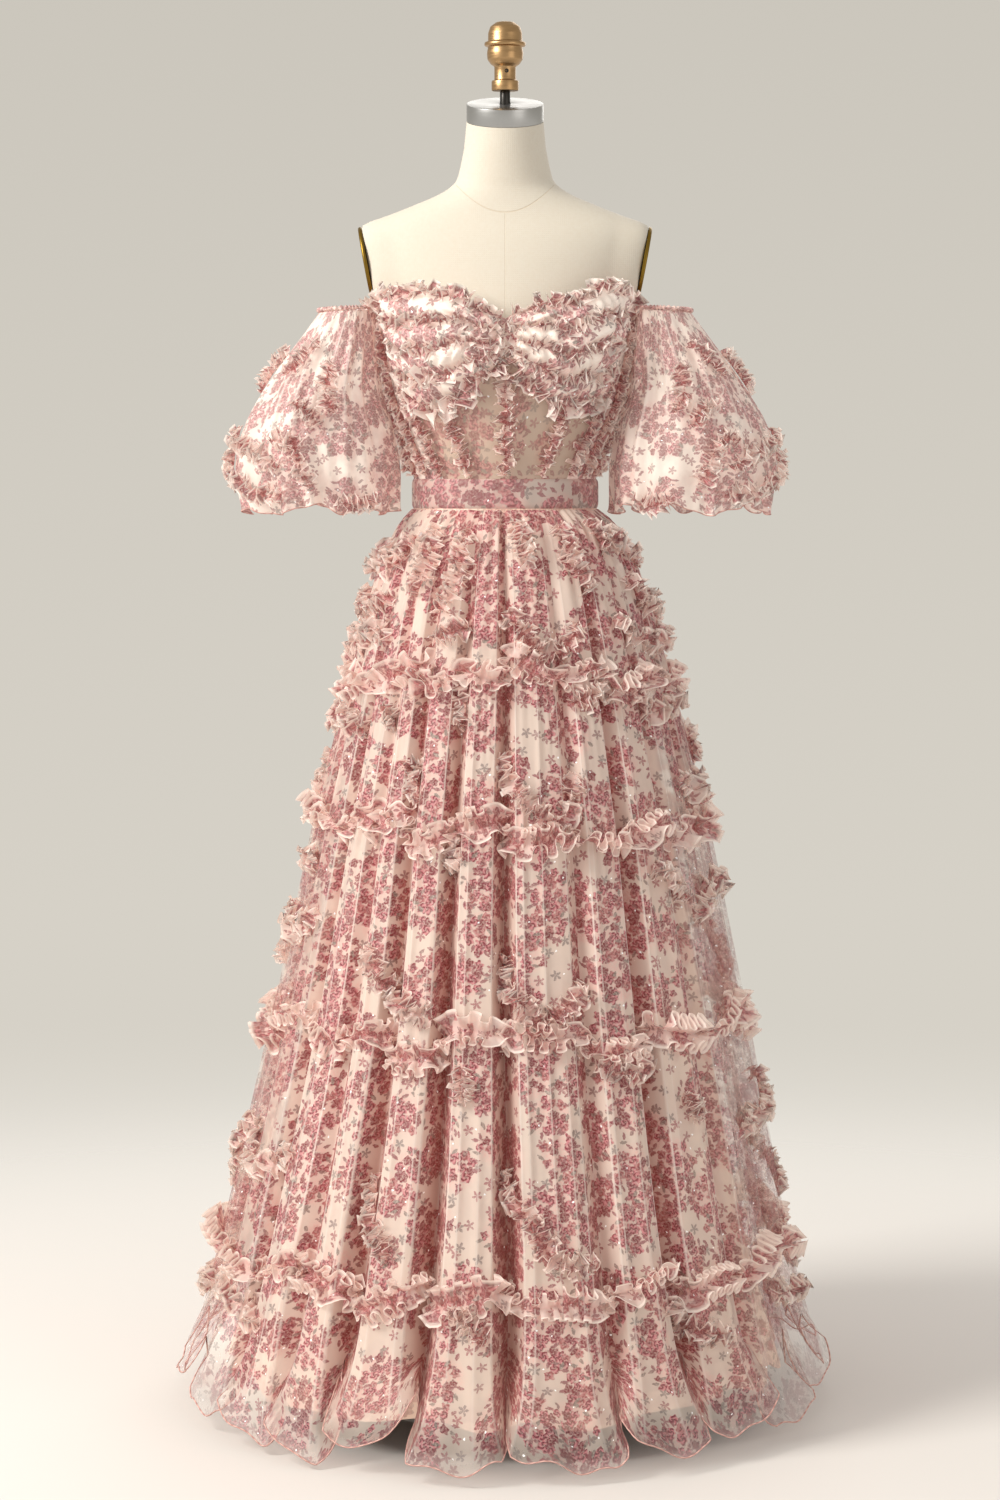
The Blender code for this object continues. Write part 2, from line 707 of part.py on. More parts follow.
def neck_cap():
    bm = bmesh.new()
    bmesh.ops.create_cone(
        bm, cap_ends=True, segments=32, radius1=NECK_RADIUS, radius2=NECK_RADIUS, depth=CAP_HEIGHT,
        matrix=neck_plane(GAP + CAP_HEIGHT / 2),
    )
    obj = object_of("neck_cap", bm, STEEL)
    hole = cylinder(
        POST_RADIUS + GAP, Vector((0, NECK_TOP.y, POST_FOOT - GAP)), Vector((0, NECK_TOP.y, 1.70)), 20)
    combine(obj, helper_of("post_hole", hole), "DIFFERENCE")


def neck_post():
    bm = cylinder(
        POST_RADIUS, Vector((0, NECK_TOP.y, POST_FOOT)), Vector((0, NECK_TOP.y, POST_TOP)), 20)
    object_of("neck_post", bm, DARK_STEEL)


def finial():
    obj = turned("finial", zip(FINIAL_PROFILE["radius"], FINIAL_PROFILE["z"]), GOLD, 28)
    obj.location = (0, NECK_TOP.y, 0)
    ends = [Vector((SET_SCREW["x"], NECK_TOP.y - reach, SET_SCREW["z"])) for reach in SET_SCREW["from_axis"]]
    screw_hole = cylinder(SET_SCREW["radius"], *ends, 12)
    combine(obj, helper_of("set_screw_hole", screw_hole), "DIFFERENCE")


def stand():
    object_of("stand_pole", cylinder(
        POLE_RADIUS, Vector((0, 0, BASE_HEIGHT + GAP)), Vector((0, 0, POLE_TOP)), 20), STAND_PAINT)
    turned("stand_base", [
        (0.0, BASE_HEIGHT), (BASE_RADIUS - 0.02, BASE_HEIGHT - 0.002), (BASE_RADIUS, 0.006),
        (BASE_RADIUS, 0.0), (0.0, 0.0),
    ], STAND_PAINT, 32)


def dress_form():
    torso()
    neck_cap()
    neck_post()
    finial()
    for word, side in SIDES:
        arm_plate("arm_plate_" + word, side)
    stand()


# ---------------------------------------------------------------- zip


def zip_chain():
    """The closed teeth of a concealed zip, behind the centre-back seam."""
    levels = (BODICE_LOW, WAIST_HIGH, 1.220, BUST_LINE, 1.320, 1.374)

    def point(column, row):
        back = section_at(BODICE, levels[row]).back - CLOTH - LIFT
        return Vector((CHAIN_HALF_WIDTH * (1 - 2 * column), back, levels[row]))

    cloth("zip_chain", 1, len(levels) - 1, point, DARK_STEEL, CHAIN_WALL)


def slider_back():
    """Where the slider's inner face lies: just off the cloth at the centre back."""
    return section_at(BODICE, SLIDER_FOOT).back + SEAM


def pull_axis():
    return Vector((0, slider_back() + SLIDER_SIZE.y + 0.0021, SLIDER_FOOT + 0.0035))


def zip_slider():
    """The slider's block with two cheeks and the pin that carries the pull."""
    block = Vector((0, slider_back() + SLIDER_SIZE.y / 2, SLIDER_FOOT + SLIDER_SIZE.z / 2))
    obj = object_of("zip_slider", box(block, SLIDER_SIZE), STEEL)
    axis = pull_axis()
    for word, side in SIDES:
        cheek = box(axis + Vector((side * 0.0027, -0.0006, 0)), Vector((0.0014, 0.0048, 0.0036)))
        combine(obj, helper_of("cheek_" + word, cheek), "UNION")
    reach = Vector((0.0027, 0, 0))
    pin = cylinder(PIN_RADIUS, axis - reach, axis + reach, 10)
    combine(obj, helper_of("slider_pin", pin), "UNION")


def zip_pull():
    """A tab that hangs from the slider's pin by an eye."""
    axis = pull_axis()
    reach = Vector((0.0016, 0, 0))
    obj = object_of("zip_pull", cylinder(BARREL_RADIUS, -reach, reach, 14), STEEL)
    obj.location = axis
    neck = box(Vector((0, 0, -0.0030)), Vector((0.0026, 0.0012, 0.0040)))
    blade = box(Vector((0, 0, -(0.0045 + PULL_LENGTH) / 2)), Vector((0.0050, 0.0012, PULL_LENGTH - 0.0045)))
    bmesh.ops.bevel(
        blade, geom=[e for e in blade.edges if abs(e.verts[0].co.y - e.verts[1].co.y) > 0.001],
        offset=0.0016, segments=3, affect="EDGES")
    long_reach = Vector((0.005, 0, 0))
    eye = cylinder(EYE_RADIUS, -long_reach, long_reach, 12)
    for name, bm, operation in (
        ("pull_neck", neck, "UNION"), ("pull_blade", blade, "UNION"), ("pull_eye", eye, "DIFFERENCE"),
    ):
        helper = helper_of(name, bm)
        helper.location = axis
        combine(obj, helper, operation)


clear_scene()
DRESS = collection("prom_dress_on_dress_form")
HELPERS = collection("cutters")
dress_form()
bodice()
skirt()
sleeves()
zip_chain()
zip_slider()
zip_pull()
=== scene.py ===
"""Finish for an off-the-shoulder prom dress of printed organza, worn by a limbless dress form.

Metres, +Z up. The front of the dress faces -Y and the wearer's left is +X. An angle round the dress is
in degrees: 0 at the centre front, +90 at the wearer's left side and 180 at the centre back.
"""

from collections import namedtuple
from functools import partial

import bpy
import numpy as np
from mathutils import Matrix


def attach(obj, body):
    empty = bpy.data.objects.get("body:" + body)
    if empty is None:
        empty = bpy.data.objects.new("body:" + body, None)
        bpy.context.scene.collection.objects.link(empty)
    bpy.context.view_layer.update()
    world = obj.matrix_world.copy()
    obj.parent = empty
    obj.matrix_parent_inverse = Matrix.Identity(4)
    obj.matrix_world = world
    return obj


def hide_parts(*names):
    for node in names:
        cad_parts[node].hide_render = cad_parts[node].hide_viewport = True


bl_info = {
    "name": "Prom Dress on Dress Form",
    "version": (1, 0, 0),
    "blender": (4, 5, 0),
    "location": "View3D > Sidebar > Prom Dress",
    "description": "Printed organza dress with gathered frills, on its form",
    "category": "Add Mesh",
}

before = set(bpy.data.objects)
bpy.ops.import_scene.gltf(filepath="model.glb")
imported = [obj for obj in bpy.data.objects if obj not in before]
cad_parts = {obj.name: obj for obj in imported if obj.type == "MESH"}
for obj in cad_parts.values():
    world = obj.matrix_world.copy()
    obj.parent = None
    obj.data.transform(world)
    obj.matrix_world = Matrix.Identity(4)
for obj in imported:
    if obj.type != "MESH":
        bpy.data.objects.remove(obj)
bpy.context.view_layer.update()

LEVEL = np.array((1, 1, 0))
UV_NAME = "Cloth"

# ---------------------------------------------------------------- sizes shared with the frame

HEM = 0.012
SKIRT_TOP = 1.1375
LINING_HEM, LINING_TOP = 0.030, 1.148
WAIST_LOW, WAIST_HIGH = 1.138, 1.176
BODICE_LOW, BODICE_TOP = 1.158, 1.4175
BUST_LINE = 1.270
SIDES = {"left": 1, "right": -1}


def sections(*rows):
    """A form that closes round the Z axis, as one array for each column, lowest row first. A row is the
    height, the half width on the right and the left, or one for both, and the depth in front and behind."""
    rows = [row if len(row) == 5 else (row[0], row[1], *row[1:]) for row in rows]
    return dict(zip(("z", "right", "left", "front", "back"), np.array(rows).T))


BODICE = sections(
    (1.158, 0.1146, 0.0871, 0.0821), (1.176, 0.1146, 0.0871, 0.0821), (1.220, 0.1250, 0.0940, 0.0870),
    (1.270, 0.1420, 0.1020, 0.0940), (1.320, 0.1535, 0.1085, 0.0985), (1.394, 0.1640, 0.1030, 0.0980),
    (1.420, 0.1700, 0.0985, 0.0960),
)
WAISTBAND = sections((1.138, 0.1175, 0.0900, 0.0850), (1.176, 0.1175, 0.0900, 0.0850))
SKIRT = sections(
    (0.012, 0.418, 0.412, 0.446, 0.450), (0.206, 0.366, 0.364, 0.396, 0.402),
    (0.493, 0.293, 0.305, 0.302, 0.320), (0.745, 0.240, 0.254, 0.240, 0.252),
    (0.930, 0.196, 0.210, 0.188, 0.195), (1.050, 0.166, 0.174, 0.148, 0.152),
    (1.112, 0.142, 0.151, 0.118, 0.118), (1.1375, 0.1180, 0.0905, 0.0855),
)
LINING = sections(
    (0.030, 0.354, 0.352, 0.385, 0.390), (0.206, 0.305, 0.335, 0.342), (0.745, 0.205, 0.207, 0.205, 0.215),
    (1.050, 0.146, 0.148, 0.128, 0.130), (1.134, 0.1137, 0.0862, 0.0812), (1.148, 0.1145, 0.0870, 0.0820),
)
TORSO = sections(
    (0.900, 0.146, 0.102, 0.108), (0.955, 0.152, 0.108, 0.113), (1.020, 0.143, 0.101, 0.104),
    (1.080, 0.126, 0.089, 0.089), (1.138, 0.1075, 0.0830, 0.0765), (1.176, 0.1110, 0.0852, 0.0775),
    (1.220, 0.1195, 0.0900, 0.0810), (1.270, 0.135, 0.0970, 0.0880), (1.315, 0.144, 0.102, 0.092),
    (1.350, 0.148, 0.100, 0.092), (1.394, 0.155, 0.090, 0.091), (1.430, 0.168, 0.080, 0.088),
    (1.460, 0.178, 0.072, 0.081), (1.484, 0.184, 0.064, 0.073), (1.497, 0.176, 0.058, 0.067),
    (1.510, 0.142, 0.054, 0.062), (1.526, 0.102, 0.051, 0.057), (1.542, 0.064, 0.050, 0.052),
    (1.560, 0.058, 0.049, 0.050), (1.592, 0.0515, 0.0485, 0.0490),
)

# Each valley between two pleats: its angle and its share of the pleat depth
FOLDS = {"angle": np.array((-180, -162, -143, -125, -108, -89, -72, -56, -42, -30, -15.5,
                            0, 19.7, 35, 52, 69, 86, 105, 122, 141, 160, 180), float),
         "share": np.array((0.6, 0.8, 0.45, 0.9, 0.5, 0.55, 0.4, 0.7, 0.45, 0.75, 0.9,
                            1.0, 0.5, 0.8, 0.45, 0.7, 0.5, 0.45, 0.7, 0.9, 0.5, 0.6))}
# Half the angle of a valley, and of the sharp line along its edges
VALLEY_HALF = 3.2
CREST_HALF = 0.26
# Heights, and at each the depth of the deepest valley, a pleat's crown, and the gathers under the waist
PLEAT_DEPTH = ((0.012, 0.206, 0.493, 0.745, 0.930, 1.050, 1.112, 1.138),
               (0.047, 0.041, 0.033, 0.026, 0.018, 0.012, 0.008, 0.002))
CROWN = (0.012, 0.13, 0.35, 1.0, 1.13), (0.006, 0.005, 0.003, 0.0018, 0.0)
WAIST_GATHERS = (0.93, 1.02, 1.10, 1.137), (0.0, 0.0010, 0.0018, 0.0008)
ROW_GATHERS = 0.0010
# How far each pleat's toe spreads at the hem and how far its edges rise there, from the centre back
# round the wearer's right side
HEM_LOBES = (0.014, 0.018, 0.012, 0.014, 0.006, 0.000, 0.006, 0.006, 0.012, 0.004, 0.029,
             0.022, 0.020, 0.012, 0.008, 0.000, 0.004, 0.020, 0.026, 0.012, 0.024, 0.016)
HEM_RISE = (0.010, 0.030, 0.004, 0.024, 0.016, 0.032, 0.012, 0.004, 0.000, 0.026, 0.000,
            0.000, 0.012, 0.022, 0.004, 0.030, 0.018, 0.006, 0.026, 0.010, 0.018, 0.012)
# Places where the hem flicks out and up: angle, half its width, how far
HEM_FLICKS = (
    (-158, 5, 0.012), (-119, 6, 0.014), (-78, 5, 0.012), (-51, 3.5, 0.010), (-37, 3, 0.008),
    (-26, 3.5, 0.013), (-19, 2.2, 0.011), (-11, 2.6, 0.007), (8.5, 2.4, 0.007), (17, 2.0, 0.009),
    (24, 2.5, 0.012), (40, 3, 0.012), (48, 2.2, 0.009), (60, 4, 0.013), (80, 4, 0.012),
    (112, 5, 0.013), (151, 6, 0.012),
)
# The skirt's, lining's and waistband's panels between their seams, as angles, and the cloth cut for each
PANELS = {"front": (-89, 86), "back_left": (86, 180), "back_right": (-180, -89)}
SKIRT_CUTS = {"front": (2.05, 1.18), "back_left": (1.03, 1.18), "back_right": (1.03, 1.18)}
LINING_CUTS = {"front": (1.05, 1.15), "back_left": (0.60, 1.15), "back_right": (0.60, 1.15)}

FRILL_ROWS = (0.930, 0.745, 0.493, 0.206)
Garland = namedtuple("Garland", "z swing waves phase")
GARLANDS = (
    Garland(1.003, 0.030, 11, 0.13), Garland(0.818, 0.043, 10, 0.17), Garland(0.575, 0.052, 11, 0.24),
    Garland(0.293, 0.057, 9, 0.20), Garland(0.143, 0.022, 8, 0.65),
)

# Bodice seams: the angle of each at the waist, under the bust and at the top edge
CENTRE_FRONT = (0, 0, 0)
PRINCESS = (20, 32, 32)
SIDE_FRONT = (39, 57, 66)
SIDE_BACK = (96, 106, 112)
CENTRE_BACK = (180, 180, 180)
# Bodice edges: angles, and the height of the edge at each
LOW_EDGE = (0, 180), (BODICE_LOW, BODICE_LOW)
TOP_EDGE = (0, 14, 30, 44, 62, 90, 135, 180), (1.375, 1.394, 1.412, 1.4175, 1.408, 1.394, 1.386, 1.380)
CUP_FOOT = (0, 11, 21.5, 32, 42, 57), (1.329, 1.298, 1.2734, 1.266, 1.264, 1.270)
# Each panel: its name, its seams and top edge, its columns and rows, its finish and its flat size
PANEL_PLANS = (
    ("midriff_front_", CENTRE_FRONT, PRINCESS, CUP_FOOT, 24, 40, "midriff", (0.062, 0.13)),
    ("midriff_side_front_", PRINCESS, SIDE_FRONT, CUP_FOOT, 24, 40, "midriff", (0.052, 0.095)),
    ("side_panel_", SIDE_FRONT, SIDE_BACK, TOP_EDGE, 50, 60, "panel", (0.100, 0.235)),
    ("back_panel_", SIDE_BACK, CENTRE_BACK, TOP_EDGE, 50, 60, "panel", (0.18, 0.23)),
)
CUP_FULLNESS = 0.026
CUP_PUFF, CUP_PINCH = 0.0135, 0.0026
# Heights of a cup's frill rows, from its foot at 0 to its top edge at 1
CUP_ROWS = (0.02, 0.255, 0.49, 0.725, 0.96)

SLEEVE_LOW, SLEEVE_TOP = 1.138, 1.387
SLEEVE = {
    "z": (SLEEVE_LOW, 1.165, 1.205, 1.245, 1.290, 1.330, SLEEVE_TOP),
    "middle": (0.2350, 0.2372, 0.2392, 0.2375, 0.2310, 0.2165, 0.1998),
    "half_width": (0.0960, 0.1040, 0.1040, 0.0945, 0.0735, 0.0590, 0.0362),
    "half_depth": (0.086, 0.094, 0.098, 0.094, 0.086, 0.074, 0.050),
}
SLEEVE_SLOPE = 0.05
# Heights, and how far the sleeve's long folds swing there; then its foot's ruffle and its hem's wave
SLEEVE_SWELL = ((SLEEVE_LOW, 1.17, 1.24, 1.32, 1.375, SLEEVE_TOP),
                (0.0040, 0.0042, 0.0034, 0.0024, 0.0014, 0.0006))
SLEEVE_RUFFLE, SLEEVE_HEM_WAVE = 0.0050, 0.0065
# Radii of the rolled hems, and the height of one turn of the zip's coil
HEM_ROLL, SLEEVE_ROLL = 0.0010, 0.0008
COIL_PITCH = 0.0009

NECK_TILT = np.radians(14.6)
NECK_TOP = np.array((0, -0.012, 1.625))
NECK_RADIUS = 0.0485
CAP_GAP, CAP_HEIGHT = 0.0003, 0.022
# Turned profiles as (radius, height) start and end this close to their axis
AXIS = 0.0001
FINIAL = (
    (AXIS, 1.6630), (0.0170, 1.6630), (0.0170, 1.6755), (0.0135, 1.6765), (0.0135, 1.6930), (0.0180, 1.6960),
    (0.0222, 1.7020), (0.0228, 1.7100), (0.0215, 1.7175), (0.0255, 1.7185), (0.0262, 1.7210),
    (0.0255, 1.7235),
    (0.0215, 1.7245), (0.0213, 1.7350), (0.0185, 1.7430), (0.0110, 1.7485), (AXIS, 1.7500),
)
PLATE_MIDDLE = np.array((0.1735, 0.004, 1.449))
PLATE_LEAN = np.radians(10.4)
PLATE_HALF = {"height": 0.046, "depth": 0.039}
# An arm plate's profile: shares of its half depth, and how far each stands out
PLATE_PROFILE = ((0.003, 0.0003), (1.00, 0.0003), (1.00, 0.0034), (0.97, 0.0050), (0.90, 0.0050),
                 (0.86, 0.0026), (0.80, 0.0026), (0.003, 0.0030))

# ---------------------------------------------------------------- camera, lights and print

# The camera's focal length in mm, how far it stands to the right, and how far it looks down in degrees
CAMERA_LENS, CAMERA_OFFSET, CAMERA_DOWN = 89.33, -0.0064, 4.58
LIGHT_AIM = (0, 0, 1.1)
# The print's clusters: how far apart, how freely they scatter, and how far the print is turned, in radians
CLUSTER_SPACING, CLUSTER_SPREAD = 0.076, 0.92
PRINT_TURN = 0.46

# ---------------------------------------------------------------- frills and creases, placed one by one

# How a strip is gathered: half its width, the length of one ruffle, how far a ruffle swings, how far its
# halves lean out of the cloth in degrees, and how many times longer the flat strip is
Gather = namedtuple("Gather", "half wave swing lean fullness")
SKIRT_GATHER = Gather(0.0205, 0.0180, 0.0092, 46, 2.0)
GARLAND_GATHER = Gather(0.0175, 0.0175, 0.0080, 50, 2.1)
BODICE_GATHER = Gather(0.0118, 0.0165, 0.0070, 54, 2.1)
CUP_GATHER = Gather(0.0140, 0.0250, 0.0092, 50, 2.1)
SLEEVE_GATHER = Gather(0.0140, 0.0180, 0.0080, 52, 2.1)
# How far a strip's stitches lie off the cloth, the columns of one ruffle, the rows across the strip, and
# the length over which an open end comes to its full width
FRILL_LIFT = 0.0012
FRILL_COLUMNS = 12
FRILL_ROWS_ACROSS = (-1, -0.86, -0.66, -0.33, 0, 0.33, 0.66, 0.86, 1)
FRILL_END = 0.012
# Along a strip on the skirt or a sleeve, a degree is taken as 4.4 mm
DEGREE_ON_SKIRT = 0.0044

# Strips of each tier on the front, as corners of (angle, height)
FRONT_STRIPS = {
    1: (((-88, 1.050), (-76, 1.085), (-62, 1.060), (-50, 1.105)), ((-84, 1.030), (-70, 0.995), (-58, 1.030)),
        ((-88, 0.985), (-74, 0.965), (-60, 0.990), (-50, 0.970)), ((-40, 1.115), (-35, 1.070), (-40, 1.030)),
        ((-19, 1.110), (-20, 1.075), (-21.5, 1.035), (-27, 1.010)), ((-27, 0.978), (-16.5, 0.993)),
        ((6, 1.122), (7.5, 1.095), (9.5, 1.065)), ((27, 1.118), (30, 1.066), (36, 1.030)),
        ((2, 1.013), (8, 0.975), (15, 0.958), (22, 0.966), (27, 0.999)),
        ((46, 1.122), (52, 1.091), (66, 1.104), (78, 1.065)), ((60, 1.054), (73, 1.008), (84, 1.030)),
        ((44, 1.000), (56, 0.975), (72, 0.965), (88, 0.985))),
    2: (((-88, 0.868), (-70, 0.885), (-56, 0.860)), ((-46, 0.895), (-40, 0.870)),
        ((-34.5, 0.826), (-28.5, 0.811), (-26.5, 0.782)), ((-16, 0.927), (-12.5, 0.893), (-16.5, 0.868)),
        ((1, 0.842), (2.5, 0.803), (7, 0.779), (11, 0.758), (17.2, 0.763), (22, 0.816)),
        ((22, 0.900), (30.8, 0.912), (40, 0.922)), ((44, 0.918), (53, 0.884), (70, 0.892), (82, 0.905)),
        ((62, 0.800), (76, 0.780), (88, 0.800))),
    3: (((-88, 0.630), (-74, 0.600), (-60, 0.635)), ((-80, 0.700), (-66, 0.690)),
        ((-38, 0.606), (-31, 0.548), (-18.5, 0.523)), ((-17.5, 0.705), (-11.5, 0.718)),
        ((-1.5, 0.598), (3.5, 0.549), (9, 0.512), (19.5, 0.562)), ((42, 0.700), (55.5, 0.658)),
        ((56.2, 0.634), (72, 0.668), (88, 0.665))),
    4: (((-78, 0.370), (-64, 0.315), (-50, 0.350)), ((-30, 0.335), (-27, 0.285), (-23, 0.245)),
        ((-10.5, 0.470), (-9.5, 0.425)), ((0, 0.345), (5, 0.285), (10, 0.240), (17, 0.245)),
        ((22, 0.470), (26, 0.455), (32, 0.462), (36, 0.478)), ((42.8, 0.426), (46, 0.392)),
        ((84, 0.425), (80, 0.380), (61, 0.368))),
    5: (((-84, 0.150), (-66, 0.170), (-50, 0.140)), ((-10, 0.195), (-4, 0.158)),
        ((31, 0.186), (38, 0.150), (45, 0.140)), ((62, 0.165), (80, 0.150))),
}
# Strips on each sleeve, as corners of (turn, height); the turn is 0 on the outer side and -90 in front
CUFF_STRIPS = (
    ((-58, 1.224), (-76, 1.226), (-80, 1.195), (-87, 1.166)),
    ((8, 1.212), (-12, 1.182), (-46, 1.160), (-68, 1.158)),
    ((-10, 1.236), (-22, 1.222), (-51, 1.206), (-66, 1.190)), ((-104, 1.150), (-120, 1.144), (-136, 1.150)),
    ((24, 1.190), (50, 1.165), (78, 1.160), (100, 1.172)), ((30, 1.232), (52, 1.212), (80, 1.222)),
)
UPPER_STRIPS = (
    ((-16, 1.283), (-8, 1.318), (-26, 1.336)), ((-48, 1.304), (-60, 1.325), (-70, 1.347)),
    ((-93, 1.320), (-94, 1.286), (-104, 1.258)), ((-70, 1.268), (-84, 1.262), (-92, 1.240)),
    ((30, 1.330), (44, 1.296), (38, 1.268)), ((84, 1.325), (95, 1.290), (86, 1.255)),
    ((128, 1.300), (142, 1.262)),
)
# Standing creases of each sleeve: the turn at its top and at its foot, and the heights it runs between
SleeveCrease = namedtuple("SleeveCrease", "top foot low high")
SLEEVE_CREASES = [SleeveCrease(*row) for row in (
    (-28, -16, 1.200, 1.374), (-94, -93, 1.280, 1.376), (-128, -137, 1.190, 1.345),
    (-110, -113, 1.250, 1.350), (-62, -76, 1.235, 1.350), (-50, -60, 1.170, 1.320),
    (-150, -156, 1.230, 1.340), (12, 20, 1.220, 1.372), (52, 46, 1.200, 1.350),
    (80, 88, 1.250, 1.374), (112, 120, 1.180, 1.340), (150, 146, 1.240, 1.360),
)]
# Stretches of each tier's garland that carry cloth at the back, as angles
BACK_SPANS = {
    1: ((-180, -146), (-132, -96), (96, 116), (122, 150), (158, 180)),
    2: ((-174, -132), (-118, -92), (92, 118), (128, 168)),
    3: ((-178, -140), (-126, -94), (104, 142), (152, 176)),
    4: ((-176, -128), (-112, -90), (94, 112), (120, 158)),
    5: ((-170, -134), (-120, -96), (98, 112), (124, 158)),
}

# Standing creases of the skirt: angle, lowest and highest point, how far it stands out, half its width
Crease = namedtuple("Crease", "angle low high height half")
CREASES = [Crease(*row) for row in (
    (-171, 0.0, 0.72, 0.004, 1.6), (-153, 0.0, 0.90, 0.005, 1.4), (-134, 0.2, 1.05, 0.003, 1.2),
    (-116, 0.0, 0.60, 0.006, 1.8), (-98, 0.1, 0.88, 0.004, 1.3), (-81, 0.0, 0.95, 0.004, 1.5),
    (-77, 0.0, 0.40, 0.005, 1.0), (-65, 0.0, 1.02, 0.005, 1.3), (-61, 0.3, 0.80, 0.003, 0.9),
    (-49, 0.0, 0.98, 0.004, 1.4), (-46, 0.0, 0.35, 0.004, 0.9), (-37, 0.2, 1.08, 0.003, 1.0),
    (-34, 0.0, 0.55, 0.005, 1.2), (-25, 0.0, 0.94, 0.003, 0.9), (-20, 0.0, 0.70, 0.004, 1.1),
    (-10, 0.1, 1.05, 0.003, 0.8), (-6, 0.0, 0.50, 0.004, 1.0), (5, 0.0, 0.88, 0.003, 0.9),
    (10, 0.2, 1.08, 0.003, 0.9), (14, 0.0, 0.60, 0.005, 1.1), (24, 0.0, 0.98, 0.003, 0.9),
    (29, 0.0, 0.62, 0.005, 1.2), (40, 0.3, 1.06, 0.003, 1.0), (46, 0.0, 0.75, 0.005, 1.3),
    (58, 0.0, 0.96, 0.004, 1.2), (63, 0.0, 0.45, 0.005, 1.2), (74, 0.1, 0.90, 0.004, 1.3),
    (80, 0.0, 0.52, 0.004, 1.4), (93, 0.0, 0.93, 0.005, 1.6), (99, 0.3, 1.04, 0.003, 1.1),
    (113, 0.0, 0.70, 0.005, 1.5), (130, 0.0, 0.98, 0.004, 1.4), (135, 0.0, 0.42, 0.005, 1.2),
    (150, 0.1, 0.84, 0.004, 1.4), (171, 0.0, 0.92, 0.004, 1.6),
)]

# ---------------------------------------------------------------- shapes


def unit(vectors):
    """Vectors along the last axis, each divided by its length."""
    return vectors / np.linalg.norm(vectors, axis=-1, keepdims=True).clip(1e-9)


def lengths(points):
    """How far along its line each point lies; a line's points are on the last axis but one."""
    steps = np.linalg.norm(np.diff(points, axis=-2), axis=-1)
    return np.concatenate([np.zeros((*steps.shape[:-1], 1)), np.cumsum(steps, axis=-1)], axis=-1)


def raised(points, height):
    """Points with their heights increased."""
    return points + np.asarray(height)[..., None] * (0, 0, 1)


def moved_out(points, distance):
    """Points moved level, away from the Z axis."""
    return points + unit(points * LEVEL) * np.asarray(distance)[..., None]


def facing_out(path, out, middle=(0, 0, 0)):
    """Normals of a path, each turned round where it points towards the middle."""
    return out * np.sign((out * (path - middle) * LEVEL).sum(-1, keepdims=True))


def smooth_step(value, low, high):
    """0 below low, 1 above high, and 3x^2 - 2x^3 between."""
    share = ((value - low) / (high - low)).clip(0, 1)
    return share * share * (3 - 2 * share)


def bell(value, middle, half):
    """1 at the middle, falling off as e to the minus square of the distance in halves."""
    return np.exp(-((value - middle) / half) ** 2)


def wavering(angle, waves, waver, slow, phase=0.0, start=0.0):
    """A wave round an axis with uneven spacing: the sine of waves times the angle plus waver times a
    sine of slow times the angle."""
    turn = np.radians(angle)
    return np.sin(turn * waves + waver * np.sin(turn * slow + phase) + start)


def wander(share, seed, turns):
    """An uneven wave from about -1 to 1, which closes on itself as share goes from 0 to 1: sines of
    whole numbers of turns with phases from the seed."""
    phases = np.random.default_rng(seed).random(len(turns))
    waves = (np.sin(2 * np.pi * (count * share + phase)) for count, phase in zip(turns, phases))
    return sum(waves) / len(turns) ** 0.7


def eased(table, key, z, window=0.03):
    """A table's column at heights z: the mean of its straight-line values within the window, which
    narrows towards the table's ends, so corners round off and the ends hold."""
    heights = np.array(table["z"])
    room = np.minimum(window, np.minimum(z - heights[0], heights[-1] - z)).clip(0)
    return np.mean([np.interp(z + room * share, heights, table[key])
                    for share in np.linspace(-1, 1, 9)], axis=0)


def around(table, angle, z, window=0.03):
    """A point of a form: its half width there times the angle's sine, and its half depth times the cosine."""
    angle, z = np.broadcast_arrays(np.asarray(angle, float), np.asarray(z, float))
    turn = np.radians(angle)
    width = np.where(np.sin(turn) > 0, eased(table, "left", z, window), eased(table, "right", z, window))
    depth = np.where(np.cos(turn) > 0, eased(table, "front", z, window), eased(table, "back", z, window))
    return np.stack([width * np.sin(turn), -depth * np.cos(turn), z], axis=-1)


def rounded_line(corners, step=0.0015, ease=9):
    """Angles and heights along straight lines between corners, their turns rounded by a running mean."""
    corners = np.array(corners, float)
    run = lengths(corners * (DEGREE_ON_SKIRT, 1.0))
    at = np.linspace(0, run[-1], max(24, int(run[-1] / step)))
    line = np.stack([np.interp(at, run, column) for column in corners.T])
    padded = np.pad(line, ((0, 0), (ease, ease)), mode="reflect", reflect_type="odd")
    kernel = np.ones(2 * ease + 1) / (2 * ease + 1)
    return tuple(np.convolve(row, kernel, mode="valid") for row in padded)


def frame_on(surface, across, up, steps=(0.4, 0.003)):
    """Points of a surface and its outward normals: the cross product of its slopes along both parameters."""
    slope_across = surface(across + steps[0], up) - surface(across - steps[0], up)
    slope_up = surface(across, up + steps[1]) - surface(across, up - steps[1])
    return surface(across, up), unit(np.cross(slope_across, slope_up))


# A grid of cloth: points (rows, columns, 3), uv in metres at each column, the uv of each face's far column
# where that differs, whether the last column joins the first, and named values from 0 to 1 that its
# material reads: rim from a stitched line to a free edge, or on the skirt how clear it hangs of the
# lining, deep in a valley, which the material makes more opaque and darkens with painted shade, and
# crest on a sharp fold
Patch = namedtuple("Patch", "points uv uv_next closed marks")
MARKS = ("rim", "deep", "crest")


def patch(points, uv, uv_next=None, closed=False, **marks):
    """A patch, with 0 all over for a mark that isn't given."""
    marks = {name: np.broadcast_to(marks.get(name, 0.0), points.shape[:2]) for name in MARKS}
    return Patch(points, uv, uv_next, closed, marks)


